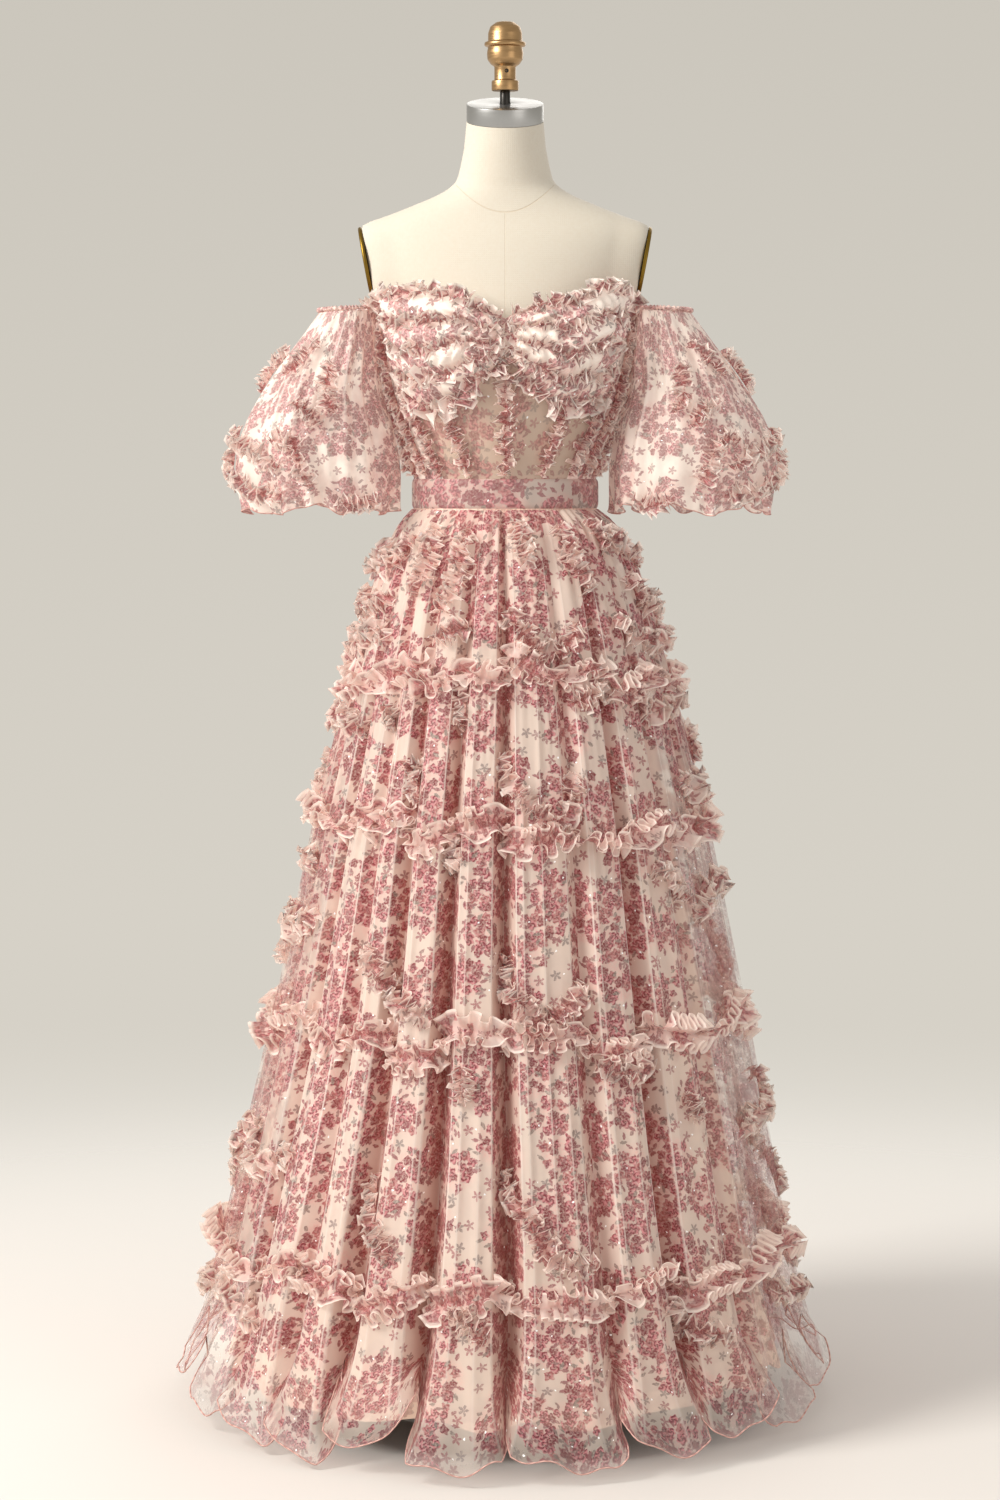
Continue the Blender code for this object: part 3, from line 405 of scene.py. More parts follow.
def ring_uv(angle, z, radius, stretch=1.0):
    """The uv of a band of cloth: the length round a ring of this radius, and the height."""
    return np.stack(np.broadcast_arrays(np.radians(angle) * radius, z * stretch), axis=-1)


def grid_object(name, patches, finish):
    """One object of quads from grids, facing outwards where columns run anticlockwise and rows run up."""
    corners, places, count = [], [], 0
    for item in patches:
        rows, columns = item.points.shape[:2]
        span = columns if item.closed else columns - 1
        index = count + np.arange(rows * columns).reshape(rows, columns)
        left, right = index[:, :span], np.roll(index, -1, axis=1)[:, :span]
        uv_left = item.uv[:, :span]
        uv_right = item.uv[:, 1:span + 1] if item.uv_next is None else item.uv_next
        for made, near, far in ((corners, left, right), (places, uv_left, uv_right)):
            quads = np.stack([near[:-1], far[:-1], far[1:], near[1:]], axis=2)
            made.append(quads.reshape(-1, *near.shape[2:]))
        count += rows * columns
    vertices = np.concatenate([item.points.reshape(-1, 3) for item in patches])
    corners = np.concatenate(corners)
    mesh = bpy.data.meshes.new(name)
    mesh.vertices.add(len(vertices))
    mesh.vertices.foreach_set("co", vertices.astype(np.float32).ravel())
    mesh.loops.add(corners.size)
    mesh.loops.foreach_set("vertex_index", corners.astype(np.int32))
    mesh.polygons.add(corners.size // 4)
    mesh.polygons.foreach_set("loop_start", np.arange(0, corners.size, 4, dtype=np.int32))
    mesh.update(calc_edges=True)
    layer = mesh.uv_layers.new(name=UV_NAME)
    layer.uv.foreach_set("vector", np.concatenate(places).astype(np.float32).ravel())
    for mark in MARKS:
        values = np.concatenate([item.marks[mark].reshape(-1) for item in patches]).astype(np.float32)
        if values.any():
            mesh.attributes.new(mark, "FLOAT", "POINT").data.foreach_set("value", values)
    mesh.shade_smooth()
    mesh.materials.append(finish)
    obj = bpy.data.objects.new(name, mesh)
    bpy.context.scene.collection.objects.link(obj)
    return obj


def piece(name, patches, finish, stands_for=()):
    """A piece of the dress or its form, which rides the body "dress"."""
    obj = grid_object(name, patches, material(finish))
    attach(obj, "dress")
    if stands_for:
        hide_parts(*stands_for)
    return obj


def tube(path, out, radius, sides=6):
    """A round bead along a path: each ring is the path's point plus cosine times out and sine times
    across."""
    along = unit(np.gradient(path, axis=0))
    across = unit(np.cross(out, along))
    turn = np.append(np.linspace(0, 2 * np.pi, sides, endpoint=False), 0)[:, None, None]
    radius = np.broadcast_to(np.asarray(radius, float), len(path))[:, None]
    rings = path[None] + np.cos(turn) * out[None] * radius + np.sin(turn) * across[None] * radius
    girth = np.linspace(0, 1, sides + 1)[:, None] * 2 * np.pi * radius.mean()
    return patch(rings, np.stack(np.broadcast_arrays(lengths(path), girth), axis=-1))


def frill(path, out, closed=False, size=1.0, *, gather, seed):
    """A strip stitched down its middle along a path, both edges standing out in ruffles.

    With h from 0 at the stitches to 1 at an edge, a point is the path's point, plus h times the half width
    along a line that leans out of the cloth, plus a wave across that line that grows with h, plus h times a
    share of the ruffle's length in a sine of twice the wave's phase along the path, so each ruffle folds
    back over the next. Both halves of the strip wander separately. The size narrows the strip where it is
    crushed."""
    run = lengths(path)
    length = run[-1]
    ruffles = max(3, round(length / gather.wave))
    columns = ruffles * FRILL_COLUMNS
    ends = np.arange(columns + 1) / columns
    share = ends[:-1] if closed else ends
    at, out = (np.stack([np.interp(share * length, run, axis) for axis in line.T], axis=-1)
               for line in (path, out))
    out = unit(out)
    along = np.roll(at, -1, axis=0) - np.roll(at, 1, axis=0) if closed else np.gradient(at, axis=0)
    along = unit(along - out * (along * out).sum(-1, keepdims=True))
    across = np.cross(out, along)

    v = np.array(FRILL_ROWS_ACROSS)[:, None]
    h, side = np.abs(v)[..., None], np.where(v < 0, -1.0, 1.0)[..., None]

    def halves(lower, lower_turns, upper, upper_turns):
        """One uneven wave on the strip's lower half and another on its upper."""
        return np.where(v < 0, wander(share, seed + lower, lower_turns),
                        wander(share, seed + upper, upper_turns))

    drift = 0.95 * halves(1, (4, 6, 13, 19), 0, (3, 7, 11, 17)) + np.where(v < 0, 0.4, 0)
    phase = (2 * np.pi * (ruffles * share + drift))[..., None]
    size = np.interp(share, np.linspace(0, 1, len(path)), np.broadcast_to(size, len(path)))
    swing = (gather.swing * (1 + 0.55 * halves(2, (5, 9, 14, 23), 3, (6, 8, 15, 21))) * size)[..., None]
    lean = (np.radians(gather.lean) + 0.5 * halves(4, (3, 8, 12), 5, (4, 7, 13)))[..., None]
    half = gather.half * (1 + 0.22 * wander(share, seed + 6, (5, 11, 17))) * size
    if not closed:
        half = half * (0.45 + 0.55 * smooth_step(np.minimum(share, 1 - share) * length, 0, FRILL_END))
    rising = side * np.cos(lean) * across + np.sin(lean) * out
    swinging = -side * np.sin(lean) * across + np.cos(lean) * out
    points = (at + FRILL_LIFT * out + h * half[:, None] * rising
              + swing * h ** 1.1 * np.cos(phase) * swinging
              + 0.10 * swing * h ** 2 * np.cos(2 * phase + 1.3 + seed) * swinging
              + gather.wave * 0.19 * h * np.sin(2 * phase) * along)
    uv = np.stack(np.broadcast_arrays(ends * length * gather.fullness + 0.173 * seed, v * gather.half),
                  axis=-1)
    return patch(points, uv, closed=closed, rim=h[..., 0]), length


def frill_piece(name, runs, gather, seed, stands_for=(), finish="frill"):
    """A piece of one or more gathered strips, each a path, its outward normals, whether it closes on
    itself and its size along the way."""
    made = [frill(*run, gather=gather, seed=seed + 10 * number) for number, run in enumerate(runs)]
    obj = piece(name + "_strip", [item for item, _ in made], finish, stands_for)


# ---------------------------------------------------------------- colours and materials


def linear(text):
    """An sRGB colour such as "#E8C9B8" as linear red, green, blue and 1."""
    value = np.array([int(text[k:k + 2], 16) for k in (1, 3, 5)]) / 255
    value = np.where(value <= 0.04045, value / 12.92, ((value + 0.055) / 1.055) ** 2.4)
    return (*value.tolist(), 1.0)


# The setting that a second word after a node's kind gives
SECOND_WORD = {"Math": "operation", "VectorMath": "operation", "Mix": "data_type",
               "TexWave": "bands_direction", "MapRange": "interpolation_type", "UVMap": "uv_map",
               "Attribute": "attribute_name"}


def add_node(tree, kind, *inputs, **named):
    """Adds a shader node. A second word in its kind, and keywords in small letters, are its settings. Its
    inputs come in order or as capitalised keywords: each is a value, an sRGB colour as text, a socket, or
    a node, which is linked by its first live output."""
    kind, *words = kind.split()
    made = tree.nodes.new("ShaderNode" + kind)
    for word in words:
        setattr(made, SECOND_WORD[kind], word)
    for key in filter(str.islower, named):
        setattr(made, key, named[key])
    live = [socket for socket in made.inputs if socket.enabled]
    pairs = [*zip(live, inputs)]
    for key in named:
        if not key.islower():
            pairs.append((next(s for s in live if s.name == key.replace("_", " ")), named[key]))
    for socket, value in pairs:
        if isinstance(value, bpy.types.Node):
            value = next(s for s in value.outputs if s.enabled)
        if isinstance(value, bpy.types.NodeSocket):
            tree.links.new(value, socket)
        else:
            socket.default_value = linear(value) if isinstance(value, str) else value
    return made


def new_material(name):
    """A material, and add_node for its empty tree."""
    made = bpy.data.materials.new(name)
    made.use_nodes = True
    made.node_tree.nodes.clear()
    return made, partial(add_node, made.node_tree)


# The print's node group, and the materials by the names that pieces use for them
PRINT = {}
MATERIALS = {}


def material(name):
    """A material that DRESS_OT_materials has made, by its short name."""
    return MATERIALS[name]


def floral_print():
    """The print as a node group. Rosettes, leaves and sprigs each sit on their own scattered points; a
    motif shows where its point is near enough to a cluster's middle, so every motif is whole."""
    group = bpy.data.node_groups.new("floral_print", "ShaderNodeTree")
    group.interface.new_socket("Place", in_out="INPUT", socket_type="NodeSocketVector")
    for name, kind in (("Colour", "Color"), ("Cover", "Float"), ("Glitter", "Float")):
        group.interface.new_socket(name, in_out="OUTPUT", socket_type="NodeSocket" + kind)
    place = group.nodes.new("NodeGroupInput").outputs[0]
    end = group.nodes.new("NodeGroupOutput")
    node = partial(add_node, group)
    scatter = {"voronoi_dimensions": "2D", "feature": "F1"}
    clusters = {"Scale": 1 / CLUSTER_SPACING, "Randomness": CLUSTER_SPREAD, **scatter}
    # Every outline is pushed to and fro by up to 2 mm, so it looks brushed on
    blur = node("TexNoise", Vector=place, Scale=230.0, Detail=1.5, Roughness=0.6, noise_dimensions="2D")
    push = node("VectorMath SUBTRACT", blur.outputs["Color"], (0.5, 0.5, 0.5))
    at = node("VectorMath MULTIPLY_ADD", push, (0.0038, 0.0038, 0.0), place)

    def motif(spacing, spread):
        """A kind of motif's points: the way from the nearest, its three random numbers, how far it lies
        from its cluster's middle, and the way there."""
        cells = node("TexVoronoi", Vector=at, Scale=1 / spacing, Randomness=spread, **scatter).outputs
        middle = cells["Position"]
        cluster = node("TexVoronoi", Vector=middle, **clusters).outputs
        chances = node("SeparateColor", cells["Color"]).outputs
        return (node("VectorMath SUBTRACT", at, middle), chances, cluster["Distance"],
                node("VectorMath SUBTRACT", middle, cluster["Position"]))

    def turn_of(vector):
        """The angle of a way across the cloth."""
        xyz = node("SeparateXYZ", vector).outputs
        return node("Math ARCTAN2", xyz["Y"], xyz["X"])

    # Rosettes about 18 mm across that touch, with curled petals and a dark heart
    away, chance, far, _ = motif(0.0160, 0.8)
    turn, spin = turn_of(away), node("Math MULTIPLY", chance["Blue"], 6.3)
    size = node("Math MULTIPLY_ADD", chance["Green"], 0.0042, 0.0074)
    radius = node("Math DIVIDE", node("VectorMath LENGTH", away), size)
    lobes = node("Math SINE", node("Math MULTIPLY_ADD", turn, 5.0, spin))
    edge = node("Math MULTIPLY_ADD", lobes, 0.16, radius)
    curl = node("Math MULTIPLY_ADD", radius, 7.4, node("Math MULTIPLY_ADD", turn, 3.0, spin))
    petals = node("Math MULTIPLY_ADD", node("Math SINE", curl), 0.5, 0.5)
    reach = node("Math MULTIPLY_ADD", chance["Red"], 0.22, far)
    bloom = node("MapRange SMOOTHSTEP", edge, 0.80, 1.12, 1.0, 0.0)
    bloom = node("Math MULTIPLY", bloom, node("Math LESS_THAN", reach, 0.57))
    bloom = node("Math MULTIPLY", bloom, node("Math MULTIPLY_ADD", petals, 0.16, 0.84))
    dusty = node("Math MULTIPLY", node("Math GREATER_THAN", chance["Blue"], 0.74), 0.6)
    crimson = node("Math MULTIPLY", node("Math LESS_THAN", chance["Blue"], 0.24), 0.85)
    rose = node("Mix RGBA", dusty, node("Mix RGBA", petals, "#D2707C", "#7C1A2E"), "#B06A66")
    rose = node("Mix RGBA", node("MapRange SMOOTHSTEP", radius, 0.08, 0.46, 0.95, 0.0), rose, "#74202C")
    rose = node("Mix RGBA", crimson, rose, "#7A1E2B")

    # Pointed leaves about 16 mm long, among the rosettes and fanned out round each cluster
    away, chance, far, way = motif(0.0145, 0.9)
    angle = node("Math MULTIPLY_ADD", chance["Green"], 2.6, node("Math SUBTRACT", turn_of(way), 1.3))
    turned = node("VectorRotate", Vector=away, Angle=angle, rotation_type="Z_AXIS", invert=True)
    xyz = node("SeparateXYZ", turned).outputs
    width = node("Math MULTIPLY_ADD", node("Math MULTIPLY", xyz["X"], xyz["X"]), -50.0, 0.0034)
    inside = node("Math SUBTRACT", width, node("Math ABSOLUTE", xyz["Y"]))
    leaf = node("MapRange SMOOTHSTEP", inside, -0.0004, 0.0010)
    reach = node("Math MULTIPLY_ADD", chance["Red"], 0.20, far)
    leaf = node("Math MULTIPLY", leaf, node("Math LESS_THAN", reach, 0.66))
    inner = node("Math LESS_THAN", reach, 0.46)
    inner = node("Math MULTIPLY", inner, node("Math GREATER_THAN", chance["Green"], 0.24))
    leaf = node("Math MULTIPLY", leaf, node("Math SUBTRACT", 1.0, inner))
    green = node("Mix RGBA", node("MapRange SMOOTHSTEP", chance["Blue"], 0.15, 0.45), "#7C6A63", "#842D3E")

    # Sprigs on the bare ground, about 18 mm across
    away, chance, far, _ = motif(0.033, 1.0)
    turn, spin = turn_of(away), node("Math MULTIPLY", chance["Blue"], 6.3)
    arms = node("Math ABSOLUTE", node("Math COSINE", node("Math MULTIPLY_ADD", turn, 2.5, spin)))
    arms = node("Math MULTIPLY_ADD", arms, 0.0088, 0.0018)
    sprig = node("MapRange SMOOTHSTEP", node("Math SUBTRACT", arms, node("VectorMath LENGTH", away)),
                 0.0, 0.0016)
    sprig = node("Math MULTIPLY", sprig, node("Math GREATER_THAN", far, 0.46))
    slate = node("Mix RGBA", node("MapRange SMOOTHSTEP", chance["Green"], 0.2, 0.6), "#786A68", "#8E3B48")
    # One glitter dot beside some of the sprigs
    beside = node("VectorMath SUBTRACT", away, (0.011, 0.008, 0.0))
    near = node("Math LESS_THAN", node("VectorMath LENGTH", beside), 0.0016)
    glitter = node("Math MULTIPLY", near, node("Math GREATER_THAN", chance["Red"], 0.60))

    colour = node("Mix RGBA", leaf, node("Mix RGBA", bloom, slate, rose), green)
    cover = node("Math MAXIMUM", node("Math MULTIPLY", leaf, 0.85), node("Math MULTIPLY", sprig, 0.8))
    cover = node("Math MAXIMUM", cover, bloom)
    cover = node("Math MULTIPLY", cover, node("MapRange SMOOTHSTEP", blur, 0.30, 0.50, 0.72, 1.0))
    # A pink wash lies under each cluster and spreads past it
    wash = node("TexVoronoi", Vector=at, **clusters).outputs["Distance"]
    wash = node("MapRange SMOOTHSTEP", wash, 0.34, 0.60, 0.58, 0.06)
    wash = node("Math MULTIPLY", wash, node("MapRange SMOOTHSTEP", blur, 0.35, 0.65, 0.55, 1.0))
    colour = node("Mix RGBA", node("MapRange SMOOTHSTEP", cover, 0.0, 0.4), "#DE9F98", colour)
    cover = node("Math MAXIMUM", cover, wash)
    for socket, value in zip(end.inputs, (colour, cover, glitter)):
        group.links.new(next(s for s in value.outputs if s.enabled), socket)
    return group


def organza(name, ground, see_through, frilled=False, ink=0.95, print_scale=1.38, shift=0.0, glow=0.08,
            shade=0.62, mean_colour="#E4A796"):
    """Printed silk-like organza: crisp, fine and half transparent, so it looks milky over what is behind
    it, more opaque where it folds on itself, darkened there with painted shade, and lit through from
    behind. Ink is how strongly it is printed, glow its share of light from behind, and shade how much
    light one layer keeps from what it covers."""
    made, node = new_material(name)
    uv = node("UVMap " + UV_NAME)
    rim = node("Attribute rim").outputs["Fac"]
    place = node("Mapping", Vector=uv, Location=(0, shift, 0), Rotation=(0, 0, PRINT_TURN),
                 Scale=(print_scale,) * 3)
    print_out = node("Group", place, node_tree=PRINT["tree"]).outputs
    cover = node("Math MULTIPLY", print_out["Cover"], ink)
    inks = node("Mix RGBA", 0.15, print_out["Colour"], "#D08684") if frilled else print_out["Colour"]
    colour = node("Mix RGBA", cover, ground, inks)
    solid = node("MapRange", cover, 0.0, 0.8, 1 - see_through, 1 - see_through * 0.4)
    if frilled:
        # A frill is more opaque towards its stitches, where the gathers crowd, and painted shade darkens
        # it there towards red; its raw edge is pale
        deep = node("MapRange", rim, 0.0, 0.45, 0.34, 0.0)
        pale = node("MapRange", rim, 0.74, 0.90, 0.0, 0.95)
        colour = node("Mix RGBA", deep, colour, "#BE5F5A")
        colour = node("Mix RGBA", pale, colour, "#FFF8EE")
        solid = node("Math ADD", solid, deep, use_clamp=True)
        solid = node("Math MAXIMUM", solid, pale)
    else:
        # A single layer clear of the lining shows more of what is behind it, a valley holds several
        # layers, so it is more opaque, and is darkened with painted shade, and a sharp fold is doubled, so it
        # is whiter
        bare = node("Math MULTIPLY_ADD", rim, -0.92, 1.0)
        inked = node("Math MULTIPLY_ADD", rim, -0.64, 1.0)
        solid = node("Math MULTIPLY", solid, node("Mix FLOAT", cover, bare, inked))
        deep = node("Attribute deep").outputs["Fac"]
        # Painted shade: the deeper in a valley, the more its colour is darkened towards red-brown
        colour = node("Mix RGBA", deep, colour, node("Mix RGBA", 0.76, colour, "#863A2C"))
        solid = node("Math MULTIPLY_ADD", deep, 0.6, solid, use_clamp=True)
        crest = node("Math MULTIPLY", node("Attribute crest").outputs["Fac"], 0.7)
        colour = node("Mix RGBA", crest, colour, "#FFF4E9")
        solid = node("Math MAXIMUM", solid, crest)
        shade = node("Math MULTIPLY_ADD", rim, -0.75 * shade, shade)
    colour = node("Mix RGBA", print_out["Glitter"], colour, "#FFFFFF")
    solid = node("Math MAXIMUM", solid, print_out["Glitter"])
    # Threads lie 0.3 mm apart, too fine to show; the crinkle is about 14 mm
    crinkle = node("TexNoise", Vector=uv, Scale=70.0, Detail=1.0, noise_dimensions="2D")
    bump = node("Bump", Strength=0.3, Distance=0.0012, Height=crinkle)
    face = node("BsdfPrincipled", colour, Roughness=0.62, Sheen_Weight=0.12, Normal=bump)
    through = node("BsdfTranslucent", Color=colour, Normal=bump)
    clear = node("BsdfTransparent")
    shown = node("MixShader", solid, clear, node("MixShader", glow, face, through))
    # Light that has already met a surface sees the cloth's openness and a flat colour pinker than its
    # mean, which is quicker and paints a red cast into the shade in its folds
    mean = node("MixShader", shade, clear, node("BsdfDiffuse", mean_colour))
    ray = node("LightPath").outputs
    shown = node("MixShader", ray["Is Shadow Ray"], shown, mean)
    node("OutputMaterial", node("MixShader", ray["Is Diffuse Ray"], shown, mean))
    return made


def lining_satin(colour):
    """Blush polyester satin with a layer of the same print over it, which shows as a faint ghost; woven
    close, so it is opaque with a soft sheen down its folds."""
    made, node = new_material("blush_lining_satin")
    uv = node("UVMap " + UV_NAME)
    place = node("Mapping", Vector=uv, Location=(0.4, 0.2, 0), Scale=(1.05, 1.05, 1))
    print_out = node("Group", place, node_tree=PRINT["tree"]).outputs
    ghost = node("Math MULTIPLY", print_out["Cover"], 0.45)
    base = node("Mix RGBA", ghost, colour, print_out["Colour"])
    crinkle = node("TexNoise", Vector=uv, Scale=40.0, Detail=3.0, noise_dimensions="2D")
    bump = node("Bump", Strength=0.15, Distance=0.001, Height=crinkle)
    node("OutputMaterial", node("BsdfPrincipled", base, Roughness=0.5, Sheen_Weight=0.1, Normal=bump))
    return made


def rolled_edge():
    """A rolled and overlocked edge in rose thread: matt, with stitches 3 mm apart."""
    made, node = new_material("rolled_edge_thread")
    uv = node("UVMap " + UV_NAME)
    stitches = node("TexWave DIAGONAL", Vector=uv, Scale=52.0, Distortion=0.5).outputs["Fac"]
    base = node("Mix RGBA", stitches, "#B5837C", "#DDB5A8")
    bump = node("Bump", Strength=0.3, Distance=0.0005, Height=stitches)
    node("OutputMaterial", node("BsdfPrincipled", base, Roughness=0.7, Normal=bump))
    return made


def form_linen(colour):
    """Unbleached linen stretched over padding: matt, a plain weave drawn at 1.2 mm, with its seams in
    shallow grooves."""
    made, node = new_material("form_linen")
    where = node("TexCoord").outputs["Object"]
    xyz = node("SeparateXYZ", where).outputs
    warp, weft = (node("TexWave " + axis, Vector=where, Scale=130.0, Distortion=1.2).outputs["Fac"]
                  for axis in "ZX")
    slub = node("TexNoise", Vector=where, Scale=260.0, Detail=3.0)
    # The neck's seam hangs as a parabola 61 mm to each side, from 1.544 m at the shoulders down to
    # 1.509 m in front and up to 1.556 m behind; a fainter one runs down the centre front
    share = node("Math MULTIPLY", xyz["X"], 1 / 0.061)
    square = node("Math MULTIPLY", share, share)
    front = node("Math MULTIPLY_ADD", square, 0.035, 1.509)
    rear = node("Math MULTIPLY_ADD", square, -0.012, 1.556)
    line = node("Mix FLOAT", node("Math GREATER_THAN", xyz["Y"], -0.005), front, rear)
    seam = node("Math ABSOLUTE", node("Math SUBTRACT", xyz["Z"], line))
    seam = node("MapRange SMOOTHSTEP", seam, 0.0, 0.0012, 1.0, 0.0)
    seam = node("Math MULTIPLY", seam, node("Math LESS_THAN", square, 1.03))
    down = node("MapRange", node("Math ABSOLUTE", xyz["X"]), 0.0, 0.0011, 0.45, 0.0)
    down = node("Math MULTIPLY", down, node("Math LESS_THAN", xyz["Z"], 1.508))
    seam = node("Math MAXIMUM", seam, down)
    shade = node("Math MULTIPLY_ADD", seam, 0.5, node("MapRange", slub, 0.3, 0.7, 0.0, 0.12))
    base = node("Mix RGBA", shade, colour, "#BFA98A")
    height = node("Math MULTIPLY_ADD", seam, -3.0, node("Math MULTIPLY", warp, weft))
    bump = node("Bump", Strength=0.35, Distance=0.0004, Height=height)
    node("OutputMaterial", node("BsdfPrincipled", base, Roughness=0.85, Sheen_Weight=0.1, Normal=bump))
    return made


def brushed_steel(name, colour):
    """Steel brushed round its axis: long fine lines that stretch each highlight."""
    made, node = new_material(name)
    lines = node("Mapping", Vector=node("TexCoord").outputs["Object"], Scale=(30.0, 30.0, 2600.0))
    grain = node("TexNoise", Vector=lines, Scale=1.0, Detail=2.0)
    rough = node("MapRange", grain, 0.3, 0.7, 0.28, 0.42)
    bump = node("Bump", Strength=0.12, Distance=0.0002, Height=grain)
    node("OutputMaterial", node("BsdfPrincipled", colour, Metallic=1.0, Roughness=rough, Normal=bump))
    return made


def satin_gold():
    """Turned brass under a satin gold lacquer: warm and softly brushed, its tone varying along the turning
    lines.
    """
    made, node = new_material("satin_gold_finial")
    lines = node("Mapping", Vector=node("TexCoord").outputs["Object"], Scale=(60.0, 60.0, 900.0))
    grain = node("TexNoise", Vector=lines, Scale=1.0, Detail=2.0)
    rough = node("MapRange", grain, 0.3, 0.7, 0.30, 0.44)
    base = node("Mix RGBA", grain, "#9E7D58", "#B99970")
    node("OutputMaterial", node("BsdfPrincipled", base, Metallic=1.0, Roughness=rough))
    return made


def arm_plate_paint():
    """Pressed steel in a grey-brown enamel, with its raised rim left in gold lacquer."""
    made, node = new_material("arm_plate_enamel")
    rim = node("Attribute rim").outputs["Fac"]
    cloud = node("TexNoise", Vector=node("TexCoord").outputs["Object"], Scale=60.0, Detail=3.0)
    enamel = node("Mix RGBA", cloud, "#7C7263", "#8E8474")
    base = node("Mix RGBA", rim, enamel, "#806629")
    metal = node("MapRange", rim, 0.0, 1.0, 0.1, 1.0)
    node("OutputMaterial", node("BsdfPrincipled", base, Metallic=metal, Roughness=0.38))
    return made


def stand_paint():
    """Pale powder coat: an even fine orange peel with a soft gloss."""
    made, node = new_material("stand_powder_coat")
    peel = node("TexNoise", Vector=node("TexCoord").outputs["Object"], Scale=900.0, Detail=1.0)
    base = node("Mix RGBA", peel, "#D5D1C8", "#DEDAD2")
    bump = node("Bump", Strength=0.1, Distance=0.0002, Height=peel)
    node("OutputMaterial", node("BsdfPrincipled", base, Roughness=0.45, Normal=bump))
    return made


def zip_nylon():
    """A nylon zip coil, dyed blush: smooth and slightly glossy."""
    made, node = new_material("zip_coil_nylon")
    grain = node("TexNoise", Vector=node("TexCoord").outputs["Object"], Scale=700.0, Detail=1.0)
    base = node("Mix RGBA", grain, "#D3A99B", "#DDB7A9")
    node("OutputMaterial", node("BsdfPrincipled", base, Roughness=0.35))
    return made


def floor_finish(colour):
    """Matt seamless paper: a faint tooth, and past the object it fades into the backdrop."""
    made, node = new_material("paper_floor")
    where = node("TexCoord").outputs["Object"]
    tooth = node("TexNoise", Vector=where, Scale=300.0, Detail=2.0)
    bump = node("Bump", Strength=0.05, Distance=0.0005, Height=tooth)
    face = node("BsdfPrincipled", colour, Roughness=0.9, Normal=bump, Specular_IOR_Level=0.1)
    fade = node("MapRange SMOOTHSTEP", node("VectorMath LENGTH", where), 0.75, 2.4)
    node("OutputMaterial", node("MixShader", fade, face, node("BsdfTransparent")))
    return made


# ---------------------------------------------------------------- skirt


def pleat_at(angle):
    """The number of the pleat that a column lies in, and the angles of the valleys before and after it."""
    lines = FOLDS["angle"]
    number = np.clip(np.searchsorted(lines, angle, side="right") - 1, 0, len(lines) - 2)
    return number, lines[number], lines[number + 1]


def pleat_middle(angle):
    """How far across its pleat a column lies, from -1 at one valley to 1 at the next, and the pleat's
    number."""
    number, first, last = pleat_at(angle)
    return 2 * (angle - first) / (last - first) - 1, number


def valley_share(angle):
    """How deep a column of the skirt lies, from 0 on a pleat's face to its valley's share: one minus the
    distance from the valley's line, so a valley is rounded and a pleat's edge is sharp."""
    number, first, last = pleat_at(angle)
    before, after = angle - first, last - angle
    near = np.minimum(before, after).clip(0) / VALLEY_HALF
    share = np.where(before < after, FOLDS["share"][number], FOLDS["share"][number + 1])
    return share * (1 - near.clip(0, 1) ** 1.35)


def crease_reach(crease, z):
    """How strongly a standing crease of the skirt shows at a height, from 0 to 1."""
    fading = smooth_step(z, crease.high - 0.2, crease.high)
    return smooth_step(z, crease.low - 0.03, crease.low + 0.06) * (1 - fading)


def skirt_creases(angle, z):
    """How far the standing creases stand out, and the gathers under the waist and under each frill row."""
    out = np.interp(z, *WAIST_GATHERS) * wavering(angle, 61, 1.6, 9)
    for crease in CREASES:
        out = out + crease.height * crease_reach(crease, z) * bell(angle, crease.angle, crease.half)
    for height in FRILL_ROWS:
        below = np.exp(-((height - z) / 0.06).clip(0, 9)) * smooth_step(z, height - 0.4, height - 0.02)
        ripple = wavering(angle, 70 + 260 * height / 3, 2.2, 13, height * 9)
        out = out + ROW_GATHERS * np.where(z < height + 0.02, below, 0) * ripple
    return out


def skirt_surface(angle, z, follow=1.0, fine=True):
    """A point of the skirt: its section, less the valley's depth, plus a crown on each pleat that grows
    into a lobe at the hem, plus its creases. Towards the hem the pleats drift, their edges rise and the
    cloth flicks out in places. Follow is how far the surface goes down into its valleys."""
    angle, z = np.broadcast_arrays(np.asarray(angle, float), np.asarray(z, float))
    across, number = pleat_middle(angle)
    hump, valley, count = 1 - across ** 2, valley_share(angle), len(FOLDS["angle"])
    full = np.random.default_rng(11).uniform(0.55, 1.25, count)[number]
    tilt = np.random.default_rng(5).uniform(-0.036, 0.036, count)[number]
    low, at_hem = 1 - smooth_step(z, HEM, 0.15), (z - HEM).clip(0)

    crown = np.interp(z, *CROWN) * full + np.array(HEM_LOBES)[number] * np.exp(-(z - HEM) / 0.045)
    out = crown * hump - np.interp(z, *PLEAT_DEPTH) * valley * follow
    if fine:
        out = out + skirt_creases(angle, z)
    out = out - 0.010 * bell(np.abs(angle), 88, 24) * (1 - smooth_step(z, 0.0, 0.5))
    drift = 0.6 * np.sin(2 * np.pi * (z / 0.9 + angle / 97)) * np.interp(z, (0.0, 0.9, 1.1), (1, 0.5, 0))
    drift = drift + 7.0 * across * hump * np.exp(-at_hem / 0.06) * follow
    at = moved_out(around(SKIRT, angle + drift * (1 - bell(np.abs(angle), 180, 6)), z, 0.05), out)

    rise = np.array(HEM_RISE)[number]
    rise = 0.024 * valley + 0.6 * rise + (0.026 + rise) * np.abs(across) ** 2.3 + tilt * across * hump
    curl = wavering(angle, 47, 3, 6) + 0.6 * np.sin(np.radians(angle) * 83 + 2)
    lift = low * (rise * follow + 0.009 * (1.6 + curl) / 2.6)
    flick = sum(size * bell(angle, place, half) for place, half, size in HEM_FLICKS)
    flick = flick * np.exp(-at_hem / 0.018) * follow * fine
    return raised(moved_out(at, 0.8 * flick), lift + flick)


